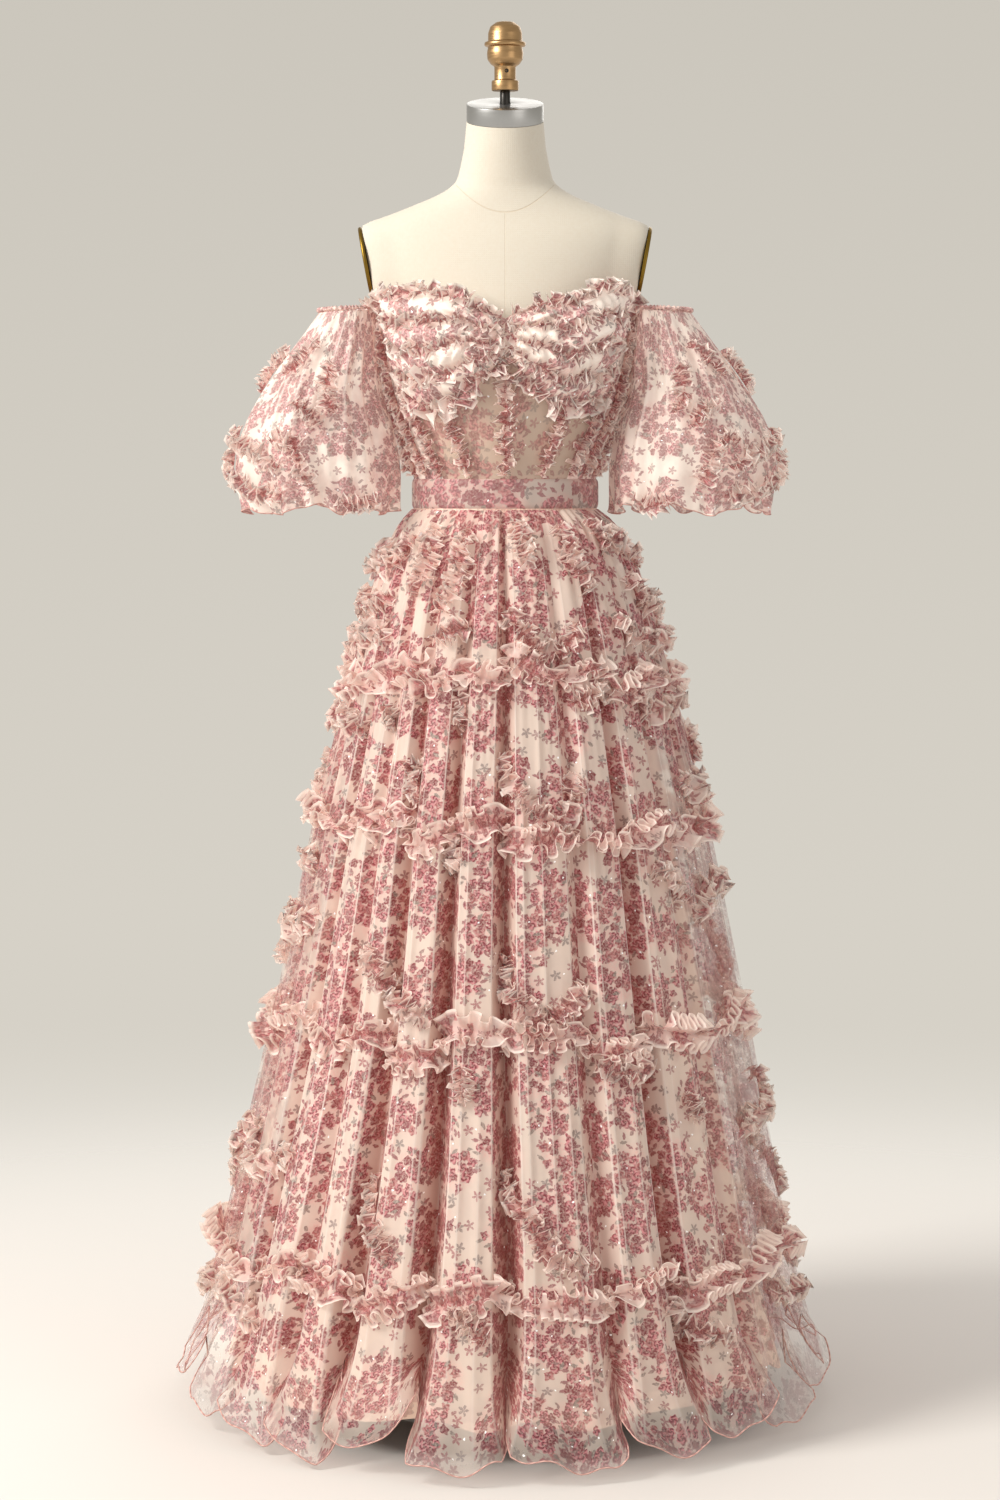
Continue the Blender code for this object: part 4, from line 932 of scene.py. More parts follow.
def pleat_columns(first, last):
    """The angles of the cloth's columns from one valley to another: close together where it turns, and
    three at each sharp line so that it shows as a line."""
    lines = [line for line in FOLDS["angle"] if first <= line <= last]
    sharp = np.array((-CREST_HALF, 0, CREST_HALF))
    columns = [lines]
    for start, stop in zip(lines, lines[1:]):
        edges = start + VALLEY_HALF, stop - VALLEY_HALF
        columns += [np.linspace(start, edges[0], 8), np.linspace(*edges, 24), np.linspace(edges[1], stop, 8)]
        columns += [edge + sharp[::2] for edge in edges]
    inside = [crease.angle for crease in CREASES if first < crease.angle - 1 and crease.angle + 1 < last]
    columns += [angle + sharp for angle in inside]
    columns = np.sort(np.concatenate(columns))
    columns = columns[np.append(True, np.diff(columns) > 0.04)]
    columns[-1] = last
    return columns


def skirt_patch(first, last):
    """The pleated cloth of one panel. Each pleat's print is measured from its own middle, so the motifs
    keep their size from waist to hem; the breaks lie in the valleys. The rim is greatest where the cloth
    hangs clear of the lining: below it, and at the sides, over a wider stretch on the wearer's left."""
    angle = pleat_columns(first, last)
    z = np.unique(np.concatenate([np.linspace(HEM, 0.14, 22), np.linspace(0.14, SKIRT_TOP, 92)]))[:, None]
    points = skirt_surface(angle, z)
    run = lengths(points)
    number, start, stop = pleat_at((angle[:-1] + angle[1:]) / 2)
    centre = np.abs(angle[:, None] - (start + stop) / 2).argmin(axis=0)
    uv, uv_next = (np.stack(np.broadcast_arrays(length - run[:, centre] + 0.317 * number, z * 1.07), axis=-1)
                   for length in (run[:, :-1], run[:, 1:]))

    wide, most = np.where(angle > 0, 34, 25), np.where(angle > 0, 1, 0.8)
    side = most * np.exp(-((np.abs(angle) - 86) / wide) ** 4) * (1 - smooth_step(z, 0.66, 0.98))
    thin = side + 0.7 * np.exp(-((z - HEM) / 0.05))
    near = np.abs(angle[:, None] - FOLDS["angle"]).min(axis=1)
    crest = (1 - np.abs(near - VALLEY_HALF) / CREST_HALF).clip(0, 1)
    crest = crest * np.interp(z, (HEM, 0.25, 1.0, 1.12), (0.35, 0.9, 1.0, 0.3))
    for crease in CREASES:
        peak = (1 - np.abs(angle - crease.angle) / CREST_HALF).clip(0, 1)
        crest = np.maximum(crest, 0.65 * crease_reach(crease, z) * peak)
    # deep: how far down its valley a point lies, most towards the hem and least under the waist and at the
    # sides; the material reads it as more layers and as painted shade
    deep = valley_share(angle) ** np.interp(z, (0.1, 0.8), (0.5, 0.7)) * (1 - 0.8 * side)
    deep = deep * np.interp(z, (HEM, 0.1, 0.9, 1.08, 1.137), (1.0, 1.0, 0.85, 0.5, 0.2))
    return patch(points, uv, uv_next, rim=thin.clip(0, 1), deep=deep, crest=crest * (1 - 0.5 * side))


def lining_surface(angle, z):
    """A point of the lining, with soft folds that grow to 5 mm at its hem."""
    swell = np.interp(z, (LINING_HEM, 0.7, 1.0, 1.1), (0.005, 0.003, 0.0006, 0.0))
    fold = wavering(angle, 19, 1.3, 4) * np.where(np.abs(angle) > 176, 0.3, 1)
    low = (1 - smooth_step(z, LINING_HEM, 0.16)) * (0.018 + 0.008 * wavering(angle, 11, 2, 5))
    return raised(moved_out(around(LINING, angle, z), swell * fold), low)


# ---------------------------------------------------------------- bodice


def seam_angle(run, z):
    """The angle at which a bodice seam passes a height."""
    return np.interp(z, (BODICE_LOW, BUST_LINE, BODICE_TOP), run)


def on_bodice(angle, z):
    """A point of the form that the bodice's seams lie on."""
    return around(BODICE, angle, z, 0.02)


def bodice_surface(side, inner, outer, foot, head):
    """A panel as a function of across, from 0 at its inner seam to 1 at its outer, and up, from 0 to 1. A
    seam's angle depends on the height and the height on the angle, so both are found by turns."""

    def surface(across, up, out=0.0):
        """A point of the panel, moved out by a distance."""
        across, up = np.broadcast_arrays(np.asarray(across, float), np.asarray(up, float))
        z = np.full(across.shape, BUST_LINE)
        for _ in range(5):
            first = seam_angle(inner, z)
            angle = first + (seam_angle(outer, z) - first) * across
            low = np.interp(angle, *foot)
            z = low + (np.interp(angle, *head) - low) * up
        return moved_out(on_bodice(side * angle, z), out + 0 * across)

    return surface


def panel_patch(surface, side, columns, rows):
    """A panel's grid, from its lower-angle seam to the other, with its uv as lengths along both ways."""
    across = np.linspace(0, 1, columns)[::side]
    points = surface(across, np.linspace(0, 1, rows)[:, None])
    run = lengths(points)
    run = run - run[:, columns // 2:columns // 2 + 1]
    rise = points[..., 2] - points[..., 2].min()
    return patch(points, np.stack([run + side * 0.41, rise], axis=-1))


def cup_row_wave(across, side):
    """How far a frill row of a cup wanders up or down on its way across."""
    return 0.038 * np.sin(9 * across + 1.2 * side) + 0.020 * np.sin(21 * across + 2.0)


def cup_surface(side):
    """A cup: its panel, swelled by a sine across and a sine up, with puffs between the frill rows."""
    flat = bodice_surface(side, CENTRE_FRONT, SIDE_FRONT, CUP_FOOT, TOP_EDGE)

    def surface(across, up, out=0.0, puffed=1.0):
        """A point of the cup, moved out by a distance, with a share of its puffs."""
        across, up = np.broadcast_arrays(np.asarray(across, float), np.asarray(up, float))
        full = CUP_FULLNESS * np.sin(np.pi * np.clip(across, 0, 1)) * np.sin(np.pi * np.clip(up, 0, 1) * 0.86)
        edge = smooth_step(across, 0, 0.12) * (1 - smooth_step(across, 0.9, 1))
        row = up - cup_row_wave(across, side) - CUP_ROWS[0]
        puff = np.abs(np.sin(np.pi * row / (CUP_ROWS[1] - CUP_ROWS[0]))) ** 0.7
        pinch = CUP_PINCH * np.sin(2 * np.pi * (across * 9 + 0.8 * np.sin(7 * across + 9 * up)))
        return flat(across, up, out + full + puffed * edge * puff * (CUP_PUFF + pinch))

    return surface


# ---------------------------------------------------------------- sleeves


def crease_at(crease, z):
    """A sleeve crease's turn at each height, and how strongly it stands there, from 0 to 1."""
    share = (z - crease.low) / (crease.high - crease.low)
    line = crease.foot + (crease.top - crease.foot) * share
    return line, smooth_step(share, -0.02, 0.12) * (1 - smooth_step(share, 0.85, 1.05))


def sleeve_surface(side):
    """A puff sleeve as a function of the turn in degrees, 0 on its outer side, and the height: an oval
    ring with long folds that spread from the band, a ruffled foot, creases, and a waved hem."""

    def surface(turn, z, out=0.0, fine=1.0):
        """A point of the sleeve, moved out by a distance, with a share of its folds and ruffles."""
        turn, z = np.broadcast_arrays(np.asarray(turn, float), np.asarray(z, float))
        t = np.radians(turn)
        folds = wavering(turn, 21, 1.8, 3, side) * 0.45 + np.sin(8 * t + side * 2 + 6 * (1.4 - z)) * 0.7
        ruffle = wavering(turn, 15, 1.5, 4, start=side) + 0.6 * wavering(turn, 27, 2.2, 5)
        out = out + fine * np.interp(z, *SLEEVE_SWELL) * folds
        out = out + fine * SLEEVE_RUFFLE * ruffle * np.exp(-(z - SLEEVE_LOW) / 0.016)
        for crease in SLEEVE_CREASES if fine else ():
            line, span = crease_at(crease, z)
            out = out + 0.0028 * span * bell(turn, line, 3.2)
        x = eased(SLEEVE, "middle", z, 0.02) + (eased(SLEEVE, "half_width", z, 0.02) + out) * np.cos(t)
        y = (eased(SLEEVE, "half_depth", z, 0.02) + out) * np.sin(t)
        fall = (SLEEVE_SLOPE * (x - np.interp(z, SLEEVE["z"], SLEEVE["middle"]))
                * smooth_step(z, 1.33, SLEEVE_TOP))
        wave = wavering(turn, 7, 0.9, 3, start=side) + 0.22 * np.sin(17 * t + 2 * side)
        wave = SLEEVE_HEM_WAVE * wave * (1 - smooth_step(z, SLEEVE_LOW, 1.19)) * fine
        return np.stack([side * x, y, z - fall + wave], axis=-1)

    return surface


def sleeve_turns(side, count):
    """Turns round a sleeve that run anticlockwise seen from above on both sides."""
    return np.linspace(-180, 180, count) * side


# ---------------------------------------------------------------- form


def leant(points):
    """Points of the neck's level ring, leant back about the X axis and put at the neck's top."""
    cosine, sine = np.cos(NECK_TILT), np.sin(NECK_TILT)
    return points @ np.array([[1, 0, 0], [0, cosine, sine], [0, -sine, cosine]]) + NECK_TOP


def on_neck(points):
    """Points moved back onto the neck's upright axis."""
    return points + (0, NECK_TOP[1], 0)


def lathe(name, profile, finish, stands_for, place, steps=72, rim=None):
    """A turned piece: a profile of (radius, height) pairs from foot to top, carried round its axis, then
    put in its place by a function of its points."""
    radius, height = np.array(profile).T[..., None]
    turn = np.linspace(0, 2 * np.pi, steps, endpoint=False)
    ring = np.broadcast_arrays(radius * np.sin(turn), -radius * np.cos(turn), height)
    uv = np.stack(np.broadcast_arrays(np.linspace(0, 1, steps + 1) * 0.2, height), axis=-1)
    marks = {} if rim is None else {"rim": np.array(rim)[:, None]}
    obj = piece(name, [patch(place(np.stack(ring, axis=-1)), uv, closed=True, **marks)], finish,
                stands_for)
    obj.data.set_sharp_from_angle(angle=np.radians(40))


def rounded(profile, radius=0.0008, count=3):
    """A profile whose inner corners are cut by short arcs, so its edges catch the light."""
    profile = [np.array(p, float) for p in profile]
    made = [profile[0]]
    for before, corner, after in zip(profile, profile[1:], profile[2:]):
        a, b = before - corner, after - corner
        reach = min(radius, 0.45 * np.linalg.norm(a), 0.45 * np.linalg.norm(b))
        start, stop = corner + unit(a) * reach, corner + unit(b) * reach
        for share in np.linspace(0, 1, count):
            made.append((1 - share) ** 2 * start + 2 * share * (1 - share) * corner + share ** 2 * stop)
    return made + [profile[-1]]


# ---------------------------------------------------------------- settings


class DressSizes(bpy.types.PropertyGroup):
    """Sizes that a user would change."""

    camera_distance: bpy.props.FloatProperty(
        name="Camera distance", description="From the camera to the form's axis", default=4.75, unit="LENGTH")
    camera_height: bpy.props.FloatProperty(
        name="Camera height", description="The camera's height above the floor", default=1.21, unit="LENGTH")
    floor_radius: bpy.props.FloatProperty(
        name="Floor radius", description="How far the floor reaches", default=6.0, unit="LENGTH")


ColourProperty = partial(bpy.props.FloatVectorProperty, size=4, subtype="COLOR", min=0.0, max=1.0)


class DressColours(bpy.types.PropertyGroup):
    """Colours that a user would change."""

    skirt: ColourProperty(
        name="Skirt", description="Ground colour of the skirt's organza", default=linear("#F6E6D7"))
    ground: ColourProperty(
        name="Bodice", description="Ground colour of the bodice and sleeves", default=linear("#FFF3E6"))
    frill: ColourProperty(name="Frill", description="Ground colour of the frills", default=linear("#FFF4EA"))
    lining: ColourProperty(name="Lining", description="Colour of the lining", default=linear("#E2C5AF"))
    form: ColourProperty(name="Form", description="Colour of the form's linen", default=linear("#D3CBBB"))
    floor: ColourProperty(name="Floor", description="Colour of the floor", default=linear("#DFDBD5"))


def settings():
    """The sizes and the colours of this scene."""
    return bpy.context.scene.prom_dress_sizes, bpy.context.scene.prom_dress_colours


# ---------------------------------------------------------------- operators


class DRESS_OT_materials(bpy.types.Operator):
    """Make the materials that the pieces share"""

    bl_idname = "prom_dress.materials"
    bl_label = "Materials"

    def execute(self, context):
        _, colours = settings()
        PRINT["tree"] = floral_print()
        MATERIALS.update(
            skirt=organza("printed_organza_skirt", colours.skirt, 0.42, ink=1.0),
            frill=organza("printed_organza_frill", colours.frill, 0.32, frilled=True, ink=0.92, glow=0.40,
                          mean_colour="#F3B5A4", shade=0.42),
            cup_frill=organza("printed_organza_cup_frill", colours.frill, 0.10, frilled=True, ink=0.92,
                              glow=0.26, mean_colour="#F6C3B4", shade=0.30),
            sleeve=organza("printed_organza_sleeve", colours.ground, 0.24, ink=0.82, glow=0.14,
                           print_scale=1.55, shift=0.052, shade=0.32),
            cup=organza("printed_organza_cups", colours.ground, 0.06, ink=0.85, glow=0.06, shade=0.34),
            panel=organza("printed_organza_panels", colours.ground, 0.12, ink=0.9, glow=0.05, shade=0.75),
            midriff=organza("sheer_organza_midriff", "#DCC3AE", 0.42, ink=0.75, shift=0.02),
            band=organza("organza_waistband", "#BFB1A6", 0.04, ink=0.8, print_scale=1.3, shift=0.03),
            lining=lining_satin(colours.lining),
            casing=organza("gathered_casing", "#F3DCD0", 0.05, ink=0.7),
            roll=rolled_edge(),
            form=form_linen(colours.form),
            gold=satin_gold(),
            steel=brushed_steel("brushed_steel_cap", "#A9A9A8"),
            dark=brushed_steel("blued_steel_post", "#3A3836"),
            plate=arm_plate_paint(),
            stand=stand_paint(),
            coil=zip_nylon(),
        )
        return {"FINISHED"}


class DRESS_OT_stage(bpy.types.Operator):
    """Floor, backdrop, lights and camera"""

    bl_idname = "prom_dress.stage"
    bl_label = "Stage"

    def execute(self, context):
        sizes, colours = settings()
        scene = context.scene
        scene.view_settings.view_transform = "Standard"
        # Enough bounces for light to come through two or three layers of cloth
        scene.cycles.max_bounces = 4
        scene.cycles.diffuse_bounces = 2
        scene.cycles.transmission_bounces = 3
        scene.cycles.glossy_bounces = 2
        scene.cycles.transparent_max_bounces = 9
        self.floor(sizes.floor_radius, floor_finish(colours.floor))
        self.backdrop(scene)
        self.lights(scene)
        self.camera(scene, sizes)
        return {"FINISHED"}

    def floor(self, reach, finish):
        """A disc that faces up."""
        radius = np.linspace(0, reach, 24)[:, None]
        turn = np.linspace(0, 2 * np.pi, 64, endpoint=False)
        points = np.stack([radius * np.sin(turn), radius * np.cos(turn), 0 * radius * turn], axis=-1)[::-1]
        grid_object("floor", [patch(points, np.zeros((24, 65, 2)), closed=True)], finish)

    def backdrop(self, scene):
        """Paper that sweeps up from the floor, for the camera; soft white for all other light."""
        world = scene.world = bpy.data.worlds.new("studio")
        world.use_nodes = True
        world.node_tree.nodes.clear()
        node = partial(add_node, world.node_tree)
        way = node("SeparateXYZ", node("TexCoord").outputs["Generated"]).outputs["Z"]
        wall = node("Mix RGBA", node("MapRange", way, -0.12, 0.13), "#D6D1C7", "#CBC6BC")
        seen = node("Mix RGBA", node("MapRange SMOOTHSTEP", way, -0.225, -0.148), "#F9F4EC", wall)
        path = node("LightPath").outputs
        rays = node("Math MAXIMUM", path["Is Camera Ray"], path["Is Glossy Ray"])
        rays = node("Math MAXIMUM", rays, path["Is Transmission Ray"])
        soft = node("Background", "#FFFCF9", 0.66)
        node("OutputWorld", node("MixShader", rays, soft, node("Background", seen, 1.0)))

    def lights(self, scene):
        """A large soft key from the viewer's upper left, a weaker fill from the right, and one from behind,
        each turned to the aim: tilted up from straight down, then turned about Z."""
        for name, place, size, watts, colour in (
            ("key", (-3.3, -1.9, 3.2), 1.7, 218, "#FFFCF7"),
            ("fill", (3.0, -3.4, 1.5), 2.6, 26, "#FFFAF5"),
            ("back", (0.8, 3.4, 2.8), 2.4, 36, "#FFFCF8"),
        ):
            data = bpy.data.lights.new(name, "AREA")
            data.size, data.energy, data.color = size, watts, linear(colour)[:3]
            lamp = bpy.data.objects.new(name, data)
            scene.collection.objects.link(lamp)
            x, y, z = np.array(LIGHT_AIM) - place
            lamp.location = place
            lamp.rotation_euler = (np.arctan2(np.hypot(x, y), -z), 0, np.arctan2(x, -y) + np.pi)

    def camera(self, scene, sizes):
        """A long lens from in front of the skirt, tilted a little down."""
        data = bpy.data.cameras.new("camera")
        data.sensor_fit, data.sensor_width, data.lens = "AUTO", 36.0, CAMERA_LENS
        scene.camera = bpy.data.objects.new("camera", data)
        scene.collection.objects.link(scene.camera)
        scene.camera.location = (CAMERA_OFFSET, -sizes.camera_distance, sizes.camera_height)
        scene.camera.rotation_euler = (np.radians(90 - CAMERA_DOWN), 0, 0)


class DRESS_OT_form(bpy.types.Operator):
    """The dress form: torso, neck cap, post, finial, arm plates and stand"""

    bl_idname = "prom_dress.form"
    bl_label = "Dress form"

    def execute(self, context):
        self.torso()
        low, high = CAP_GAP, CAP_GAP + CAP_HEIGHT
        cap = [(AXIS, low), (NECK_RADIUS, low), (NECK_RADIUS, high), (0.0068, high), (0.0068, high - 0.006),
               (AXIS, high - 0.006)]
        lathe("neck_cap_steel", rounded(cap), "steel", ["neck_cap"], leant)
        post = [(AXIS, 1.638), (0.0065, 1.638), (0.0065, 1.6627), (AXIS, 1.6627)]
        lathe("neck_post_steel", rounded(post), "dark", ["neck_post"], on_neck, steps=32)
        lathe("finial_gold", rounded(FINIAL, 0.0012), "gold", ["finial"], on_neck)
        # The set screw in the finial's stem
        screw = [(0.0026, 0.0), (0.0026, 0.0012), (0.0014, 0.0012), (0.0014, 0.0003), (AXIS, 0.0003)]
        lathe("finial_set_screw", rounded(screw, 0.0003), "dark", (), lambda p: np.stack(
            [p[..., 0] + 0.002, NECK_TOP[1] - 0.0131 - p[..., 2], p[..., 1] + 1.687], axis=-1), steps=18)
        for word, side in SIDES.items():
            self.arm_plate(word, side)
        for node in ("stand_pole", "stand_base"):
            repaint(node, "stand")
        return {"FINISHED"}

    def torso(self):
        """The torso's sections, eased into one surface from the hips to the neck's leaning top face, then
        pressed flat on each side where the arm plates sit."""
        neck = TORSO["z"][-1]
        z = np.concatenate([np.linspace(TORSO["z"][0], neck, 140), [1.600, 1.610]]).clip(max=neck)[:, None]
        angle = np.linspace(-180, 180, 176, endpoint=False)
        body = around(TORSO, angle, z, 0.012)
        body[..., 1] += np.minimum(0, (1.542 - z) * 0.16)
        turn = np.radians(angle)
        ring = leant(np.stack([NECK_RADIUS * np.sin(turn), -NECK_RADIUS * np.cos(turn), 0 * turn], axis=-1))
        for row, share in ((-2, 0.45), (-1, 0.80)):
            body[row] = body[-3] + (ring - body[-3]) * share
        inner = NECK_TOP + (ring - NECK_TOP) * 0.02
        body = np.concatenate([[body[0] * (0.02, 0.02, 1), body[0]], body, [ring, inner]])
        for side in SIDES.values():
            body = self.pressed(body, side)
        uv = np.stack(np.broadcast_arrays(np.linspace(0, 1, 177), body[:, :1, 2]), axis=-1)
        obj = piece("form_cover", [patch(body, uv, closed=True)], "form", ["form_torso"])
        obj.data.set_sharp_from_angle(angle=np.radians(50))

    def pressed(self, body, side):
        """The torso's points, flattened where they pass one arm plate's plane, and eased in round it."""
        outward = np.array((side * np.cos(PLATE_LEAN), 0, -np.sin(PLATE_LEAN)))
        upward = np.array((side * np.sin(PLATE_LEAN), 0, np.cos(PLATE_LEAN)))
        away = body - (PLATE_MIDDLE * (side, 1, 1) - outward * 0.0003)
        past = away @ outward
        tall, deep = PLATE_HALF["height"] + 0.001, PLATE_HALF["depth"] + 0.001
        oval = np.hypot((away @ upward) / tall, away[..., 1] / deep)
        near = ((1 - smooth_step(oval, 1.0, 2.1)) * smooth_step(past, -0.040, -0.006)
                * (side * body[..., 0] > 0.1))
        return body - np.where(past > 0, past * (oval < 2.2), past * near)[..., None] * outward

    def arm_plate(self, word, side):
        """A shallow oval dish with a raised rim, turned to face out of the arm's opening."""
        height, depth = PLATE_HALF["height"], PLATE_HALF["depth"]
        profile = rounded([(share * depth, out) for share, out in PLATE_PROFILE], 0.0006)
        tilt = side * (np.pi / 2 + PLATE_LEAN)
        turn = np.array([[np.cos(tilt), 0, -np.sin(tilt)], [0, 1, 0], [np.sin(tilt), 0, np.cos(tilt)]])
        lathe(f"arm_plate_{word}_enamel", profile, "plate", ["arm_plate_" + word],
              lambda p: p * (height / depth, 1, 1) @ turn + PLATE_MIDDLE * (side, 1, 1), steps=64,
              rim=[float(radius > 0.94 * depth) for radius, _ in profile])


def repaint(node, finish):
    """Gives a solid of the frame that shows as it is its finish."""
    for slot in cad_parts[node].material_slots:
        slot.material = material(finish)


class DRESS_OT_skirt(bpy.types.Operator):
    """Pleated organza skirt, its rolled hem and its lining"""

    bl_idname = "prom_dress.skirt"
    bl_label = "Skirt"

    def execute(self, context):
        for word, (first, last) in PANELS.items():
            item = skirt_patch(first, last)
            cloth = piece(f"skirt_{word}_organza", [item], "skirt", [f"skirt_{word}"])
            edge = item.points[0]
            roll = piece(f"skirt_{word}_hem_roll", [tube(edge, unit(edge * LEVEL), HEM_ROLL)], "roll")
            self.sheet(cloth, SKIRT_CUTS[word], "gathered", with_pieces=[roll])
            angle = np.linspace(first, last, int((last - first) * 1.2))
            z = np.linspace(LINING_HEM, LINING_TOP, 36)[:, None]
            item = patch(lining_surface(angle, z), ring_uv(angle, z, 0.3))
            under = piece(f"lining_{word}_satin", [item], "lining", [f"lining_{word}"])
            self.sheet(under, LINING_CUTS[word], "hung")
        return {"FINISHED"}

    def sheet(self, obj, cut, held, **more):
        """Leaves a panel as it is made."""


class DRESS_OT_skirt_frills(bpy.types.Operator):
    """Level frill rows and waved garlands of the skirt"""

    bl_idname = "prom_dress.skirt_frills"
    bl_label = "Skirt frills"

    def execute(self, context):
        for number, height in enumerate(FRILL_ROWS, 1):
            frill_piece(f"frill_row_{number}", [self.level_row(number, height)], SKIRT_GATHER, 100 * number,
                        [f"frill_row_{number}"])
        for number, plan in enumerate(GARLANDS, 1):
            runs = [self.on_skirt(*rounded_line(corners)) for corners in FRONT_STRIPS[number]]
            runs += [self.back_strip(plan, *span) for span in BACK_SPANS[number]]
            frill_piece(f"garland_{number}", runs, GARLAND_GATHER, 1000 + 100 * number,
                        [f"garland_{number}"])
        return {"FINISHED"}

    def on_skirt(self, angle, z):
        """A line on the skirt without its creases, a little out of its valleys, and its outward normals."""
        return frame_on(lambda a, h: skirt_surface(a, h, follow=0.85, fine=False), angle, z)

    def level_row(self, number, height):
        """A row round the skirt. Each pleat carries its stretch a little higher or lower than the next, and
        the strip is narrower down in the valleys."""
        angle = np.linspace(-180, 180, 1441)
        share = (angle + 180) / 360
        across, pleat = pleat_middle(angle)
        step, tilt = np.random.default_rng(number * 31).uniform(-1, 1, (2, len(FOLDS["angle"])))[:, pleat]
        z = height + (0.015 * step + 0.018 * tilt * across) * (1 - np.abs(across) ** 6)
        z = z + 0.006 * wander(share, number * 31, (9, 14, 23))
        size = 1.04 - 0.60 * valley_share(angle) + 0.24 * wander(share, number * 7, (9, 17, 29))
        return *self.on_skirt(angle, z), True, size

    def back_strip(self, plan, first, last):
        """A stretch of a garland at the back: straight lines up and down between its swings, with their
        corners rounded by a mean of five."""
        angle = np.arange(first, last + 0.1, 0.25)
        turns = plan.waves * angle / 360 + plan.phase + np.linspace(-0.06, 0.06, 5)[:, None]
        wave = np.mean(4 * np.abs(turns % 1 - 0.5) - 1, axis=0)
        return self.on_skirt(angle, plan.z + plan.swing * wave)


class DRESS_OT_bodice(bpy.types.Operator):
    """Cups, corset panels, waistband and the bodice's frills"""

    bl_idname = "prom_dress.bodice"
    bl_label = "Bodice"

    def execute(self, context):
        for word, side in SIDES.items():
            cup = cup_surface(side)
            self.panel("cup_" + word, cup, side, 60, 60, "cup", (0.17, 0.14))
            for name, inner, outer, head, columns, rows, finish, flat in PANEL_PLANS:
                surface = bodice_surface(side, inner, outer, LOW_EDGE, head)
                self.panel(name + word, surface, side, columns, rows, finish, flat)
            self.seam_frills(word, side)
            self.cup_frills(word, side, cup)
            self.back_edge(word, side)
        self.seam_frill("centre_frill", CENTRE_FRONT, 1, 1.318, ["centre_frill"], 1.2)
        for name, span in PANELS.items():
            self.waistband("waistband_" + name, *span)
        return {"FINISHED"}

    def panel(self, name, surface, side, columns, rows, finish, flat):
        """A panel stretched over the torso."""
        obj = piece(name + "_cloth", [panel_patch(surface, side, columns, rows)], finish, [name])

    def seam_frill(self, name, run, side, head, stands_for, scale=1.0):
        """A frill up a bodice seam."""
        z = np.linspace(1.180, head, 80)
        gather = BODICE_GATHER._replace(half=BODICE_GATHER.half * scale)
        frill_piece(name, [frame_on(on_bodice, side * seam_angle(run, z), z)], gather, sum(map(ord, name)),
                    stands_for)

    def seam_frills(self, word, side):
        """The frills up the princess and side seams, and three more on the side panel."""
        for name, run, head in (("princess_frill_", PRINCESS, 1.262), ("side_frill_", SIDE_FRONT, 1.300)):
            self.seam_frill(name + word, run, side, head, [name + word])
        for number, run in enumerate(((52, 72, 78), (66, 86, 92), (82, 98, 104)), 1):
            self.seam_frill(f"side_panel_frill_{word}_{number}", run, side, 1.372, ())

    def cup_frills(self, word, side, cup):
        """The rows across a cup, the lowest of them wider."""
        across = np.linspace(0.03, 0.97, 120)[::side]
        for number, heights in {1: CUP_ROWS[:2], 2: CUP_ROWS[2:3], 3: CUP_ROWS[3:]}.items():
            runs = []
            for up in heights:
                waved = up + cup_row_wave(across, side)
                waved = waved + 0.025 * wander(across, 77 + int(100 * up) + side, (2, 5, 8))
                path, out = frame_on(lambda a, h: cup(a, h, 0.001, 0.3), across, waved, (0.01, 0.01))
                runs.append((path, facing_out(path, out), False, 1.2 if up == CUP_ROWS[0] else 1.0))
            name, seed = f"cup_frill_{word}_{number}", 3000 + 70 * number + side
            frill_piece(name, runs, CUP_GATHER, seed, [name], "cup_frill")

    def back_edge(self, word, side):
        """The frill along the top edge behind the arm."""
        angle = np.linspace(64, 178, 200)[::side] * side
        z = np.interp(np.abs(angle), *TOP_EDGE) - 0.004
        frill_piece(f"back_edge_frill_{word}", [frame_on(on_bodice, angle, z)], CUP_GATHER, 3600 + side)

    def waistband(self, name, first, last):
        """A smooth band over the bodice's and the skirt's edges, turned in at its top and foot."""
        angle = np.linspace(first, last, int((last - first) * 1.2))
        share = np.linspace(0, 1, 17)[:, None]
        z, edge = WAIST_LOW + (WAIST_HIGH - WAIST_LOW) * share, np.abs(2 * share - 1)
        out = 0.0010 - 0.0022 * edge ** 8 + 0.0004 * wavering(angle, 23, 3, 5) * (1 - edge ** 4)
        item = patch(moved_out(around(WAISTBAND, angle, z), out), ring_uv(angle, z, 0.105))
        obj = piece(name + "_cloth", [item], "band", [name])


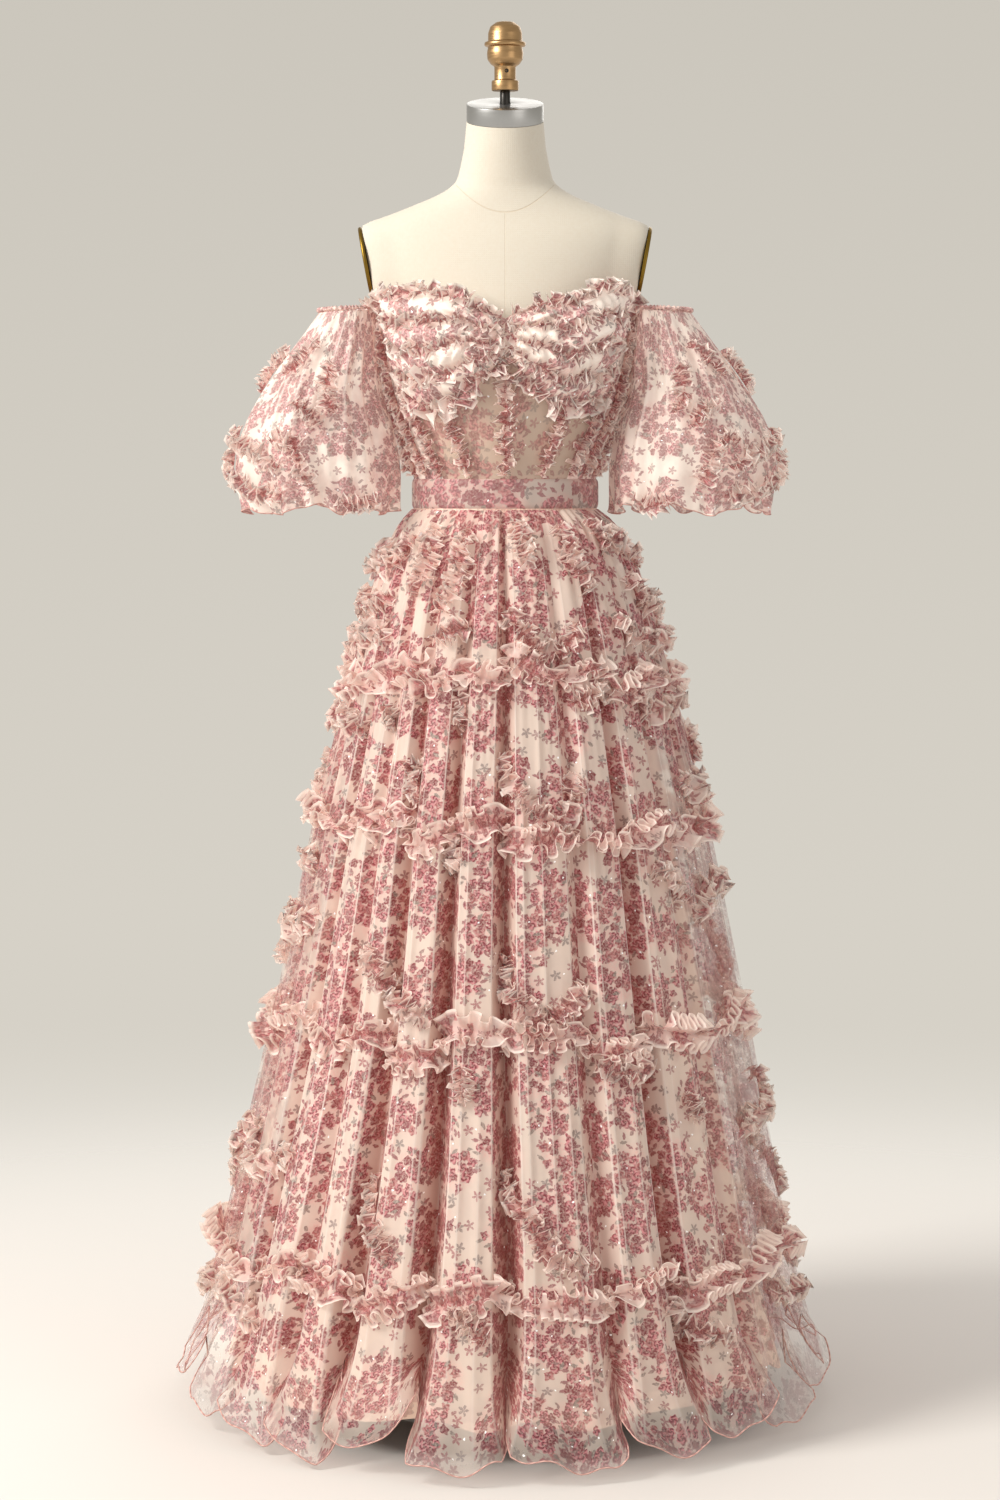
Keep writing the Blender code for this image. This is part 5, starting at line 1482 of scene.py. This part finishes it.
class DRESS_OT_sleeves(bpy.types.Operator):
    """Puff sleeves with their bands, hems and frills"""

    bl_idname = "prom_dress.sleeves"
    bl_label = "Sleeves"

    def execute(self, context):
        for word, side in SIDES.items():
            surface = sleeve_surface(side)
            foot = (side * SLEEVE["middle"][0], 0, SLEEVE_LOW)
            self.cloth(word, side, surface, foot)
            self.band(word, side, surface)
            self.frills(word, side, surface, foot)
        return {"FINISHED"}

    def cloth(self, word, side, surface, foot):
        """The sleeve's cloth and its rolled hem."""
        turn = sleeve_turns(side, 289)
        z = np.concatenate([np.linspace(SLEEVE_LOW, 1.19, 12), np.linspace(1.195, SLEEVE_TOP, 36)])[:, None]
        points = surface(turn, z)
        crest = np.zeros((len(z), len(turn)))
        for crease in SLEEVE_CREASES:
            line, span = crease_at(crease, z)
            crest = np.maximum(crest, 0.85 * span * (1 - np.abs(turn - line) / 1.5).clip(0, 1))
        shown = patch(points[:, :-1], ring_uv(turn, z, 0.105, 1.1), closed=True, crest=crest[:, :-1])
        cloth = piece(f"sleeve_{word}_organza", [shown], "sleeve", [f"sleeve_{word}"])
        out = unit((points[0] - foot) * LEVEL)
        roll = piece(f"sleeve_{word}_hem_roll", [tube(points[0], out, SLEEVE_ROLL)], "roll")

    def band(self, word, side, surface):
        """The gathered casing round the elastic: a bead whose radius ripples."""
        turn = sleeve_turns(side, 361)
        path = surface(turn, SLEEVE_TOP, fine=0.0) + (0, 0, 0.0035)
        out = unit((path - (side * SLEEVE["middle"][-1], 0, 0)) * LEVEL)
        ripple = 0.0026 + 0.0008 * wavering(turn, 44, 2, 7)
        piece(f"sleeve_band_{word}_casing", [tube(path, out, ripple, sides=8)], "casing",
              [f"sleeve_band_{word}"])

    def frills(self, word, side, surface, foot):
        """The frill round the cuff and the waved one above it, each of several strips."""
        for name, strips, seed in (("cuff_frill_", CUFF_STRIPS, 4000), ("sleeve_frill_", UPPER_STRIPS, 4600)):
            runs = []
            for corners in strips:
                path, out = frame_on(lambda a, h: surface(a, h, 0.002, 0.3), *rounded_line(corners))
                runs.append((path, facing_out(path, out, foot)))
            frill_piece(name + word, runs, SLEEVE_GATHER, seed + 50 * side, [name + word])


class DRESS_OT_zip(bpy.types.Operator):
    """The centre-back zip's coil, slider and pull"""

    bl_idname = "prom_dress.zip"
    bl_label = "Zip"

    def execute(self, context):
        turns = np.arange(1.160, 1.374, COIL_PITCH)
        back = np.interp(turns, BODICE["z"], BODICE["back"]) - 0.0028
        swing = 0.0019 * np.sign(np.sin(np.arange(len(turns)) * np.pi / 2 + 0.3))
        path = np.stack([swing, back, turns], axis=-1)
        coil = tube(path, np.broadcast_to((0.0, 1.0, 0.0), path.shape), 0.00045, sides=5)
        piece("zip_coil", [coil], "coil", ["zip_chain"])
        for node in ("zip_slider", "zip_pull"):
            repaint(node, "steel")
        return {"FINISHED"}


class DRESS_PT_panel(bpy.types.Panel):
    """Lists the dress's settings and operators"""

    bl_label = "Prom Dress"
    bl_idname = "DRESS_PT_panel"
    bl_space_type = "VIEW_3D"
    bl_region_type = "UI"
    bl_category = "Prom Dress"

    def draw(self, context):
        for group in settings():
            for name in type(group).__annotations__:
                self.layout.prop(group, name)
        for operator in OPERATORS:
            self.layout.operator(operator.bl_idname)


OPERATORS = (DRESS_OT_materials, DRESS_OT_stage, DRESS_OT_form, DRESS_OT_skirt, DRESS_OT_skirt_frills,
             DRESS_OT_bodice, DRESS_OT_sleeves, DRESS_OT_zip)
CLASSES = (DressSizes, DressColours, *OPERATORS, DRESS_PT_panel)


def register():
    """Registers the classes and gives the scene its settings."""
    for item in CLASSES:
        bpy.utils.register_class(item)
    bpy.types.Scene.prom_dress_sizes = bpy.props.PointerProperty(type=DressSizes)
    bpy.types.Scene.prom_dress_colours = bpy.props.PointerProperty(type=DressColours)


def unregister():
    """Takes back what register did, last first."""
    del bpy.types.Scene.prom_dress_colours
    del bpy.types.Scene.prom_dress_sizes
    for item in reversed(CLASSES):
        bpy.utils.unregister_class(item)


def main():
    """Registers the classes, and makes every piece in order."""
    register()
    for operator in OPERATORS:
        group, name = operator.bl_idname.split(".")
        getattr(getattr(bpy.ops, group), name)()


if __name__ == "__main__":
    main()
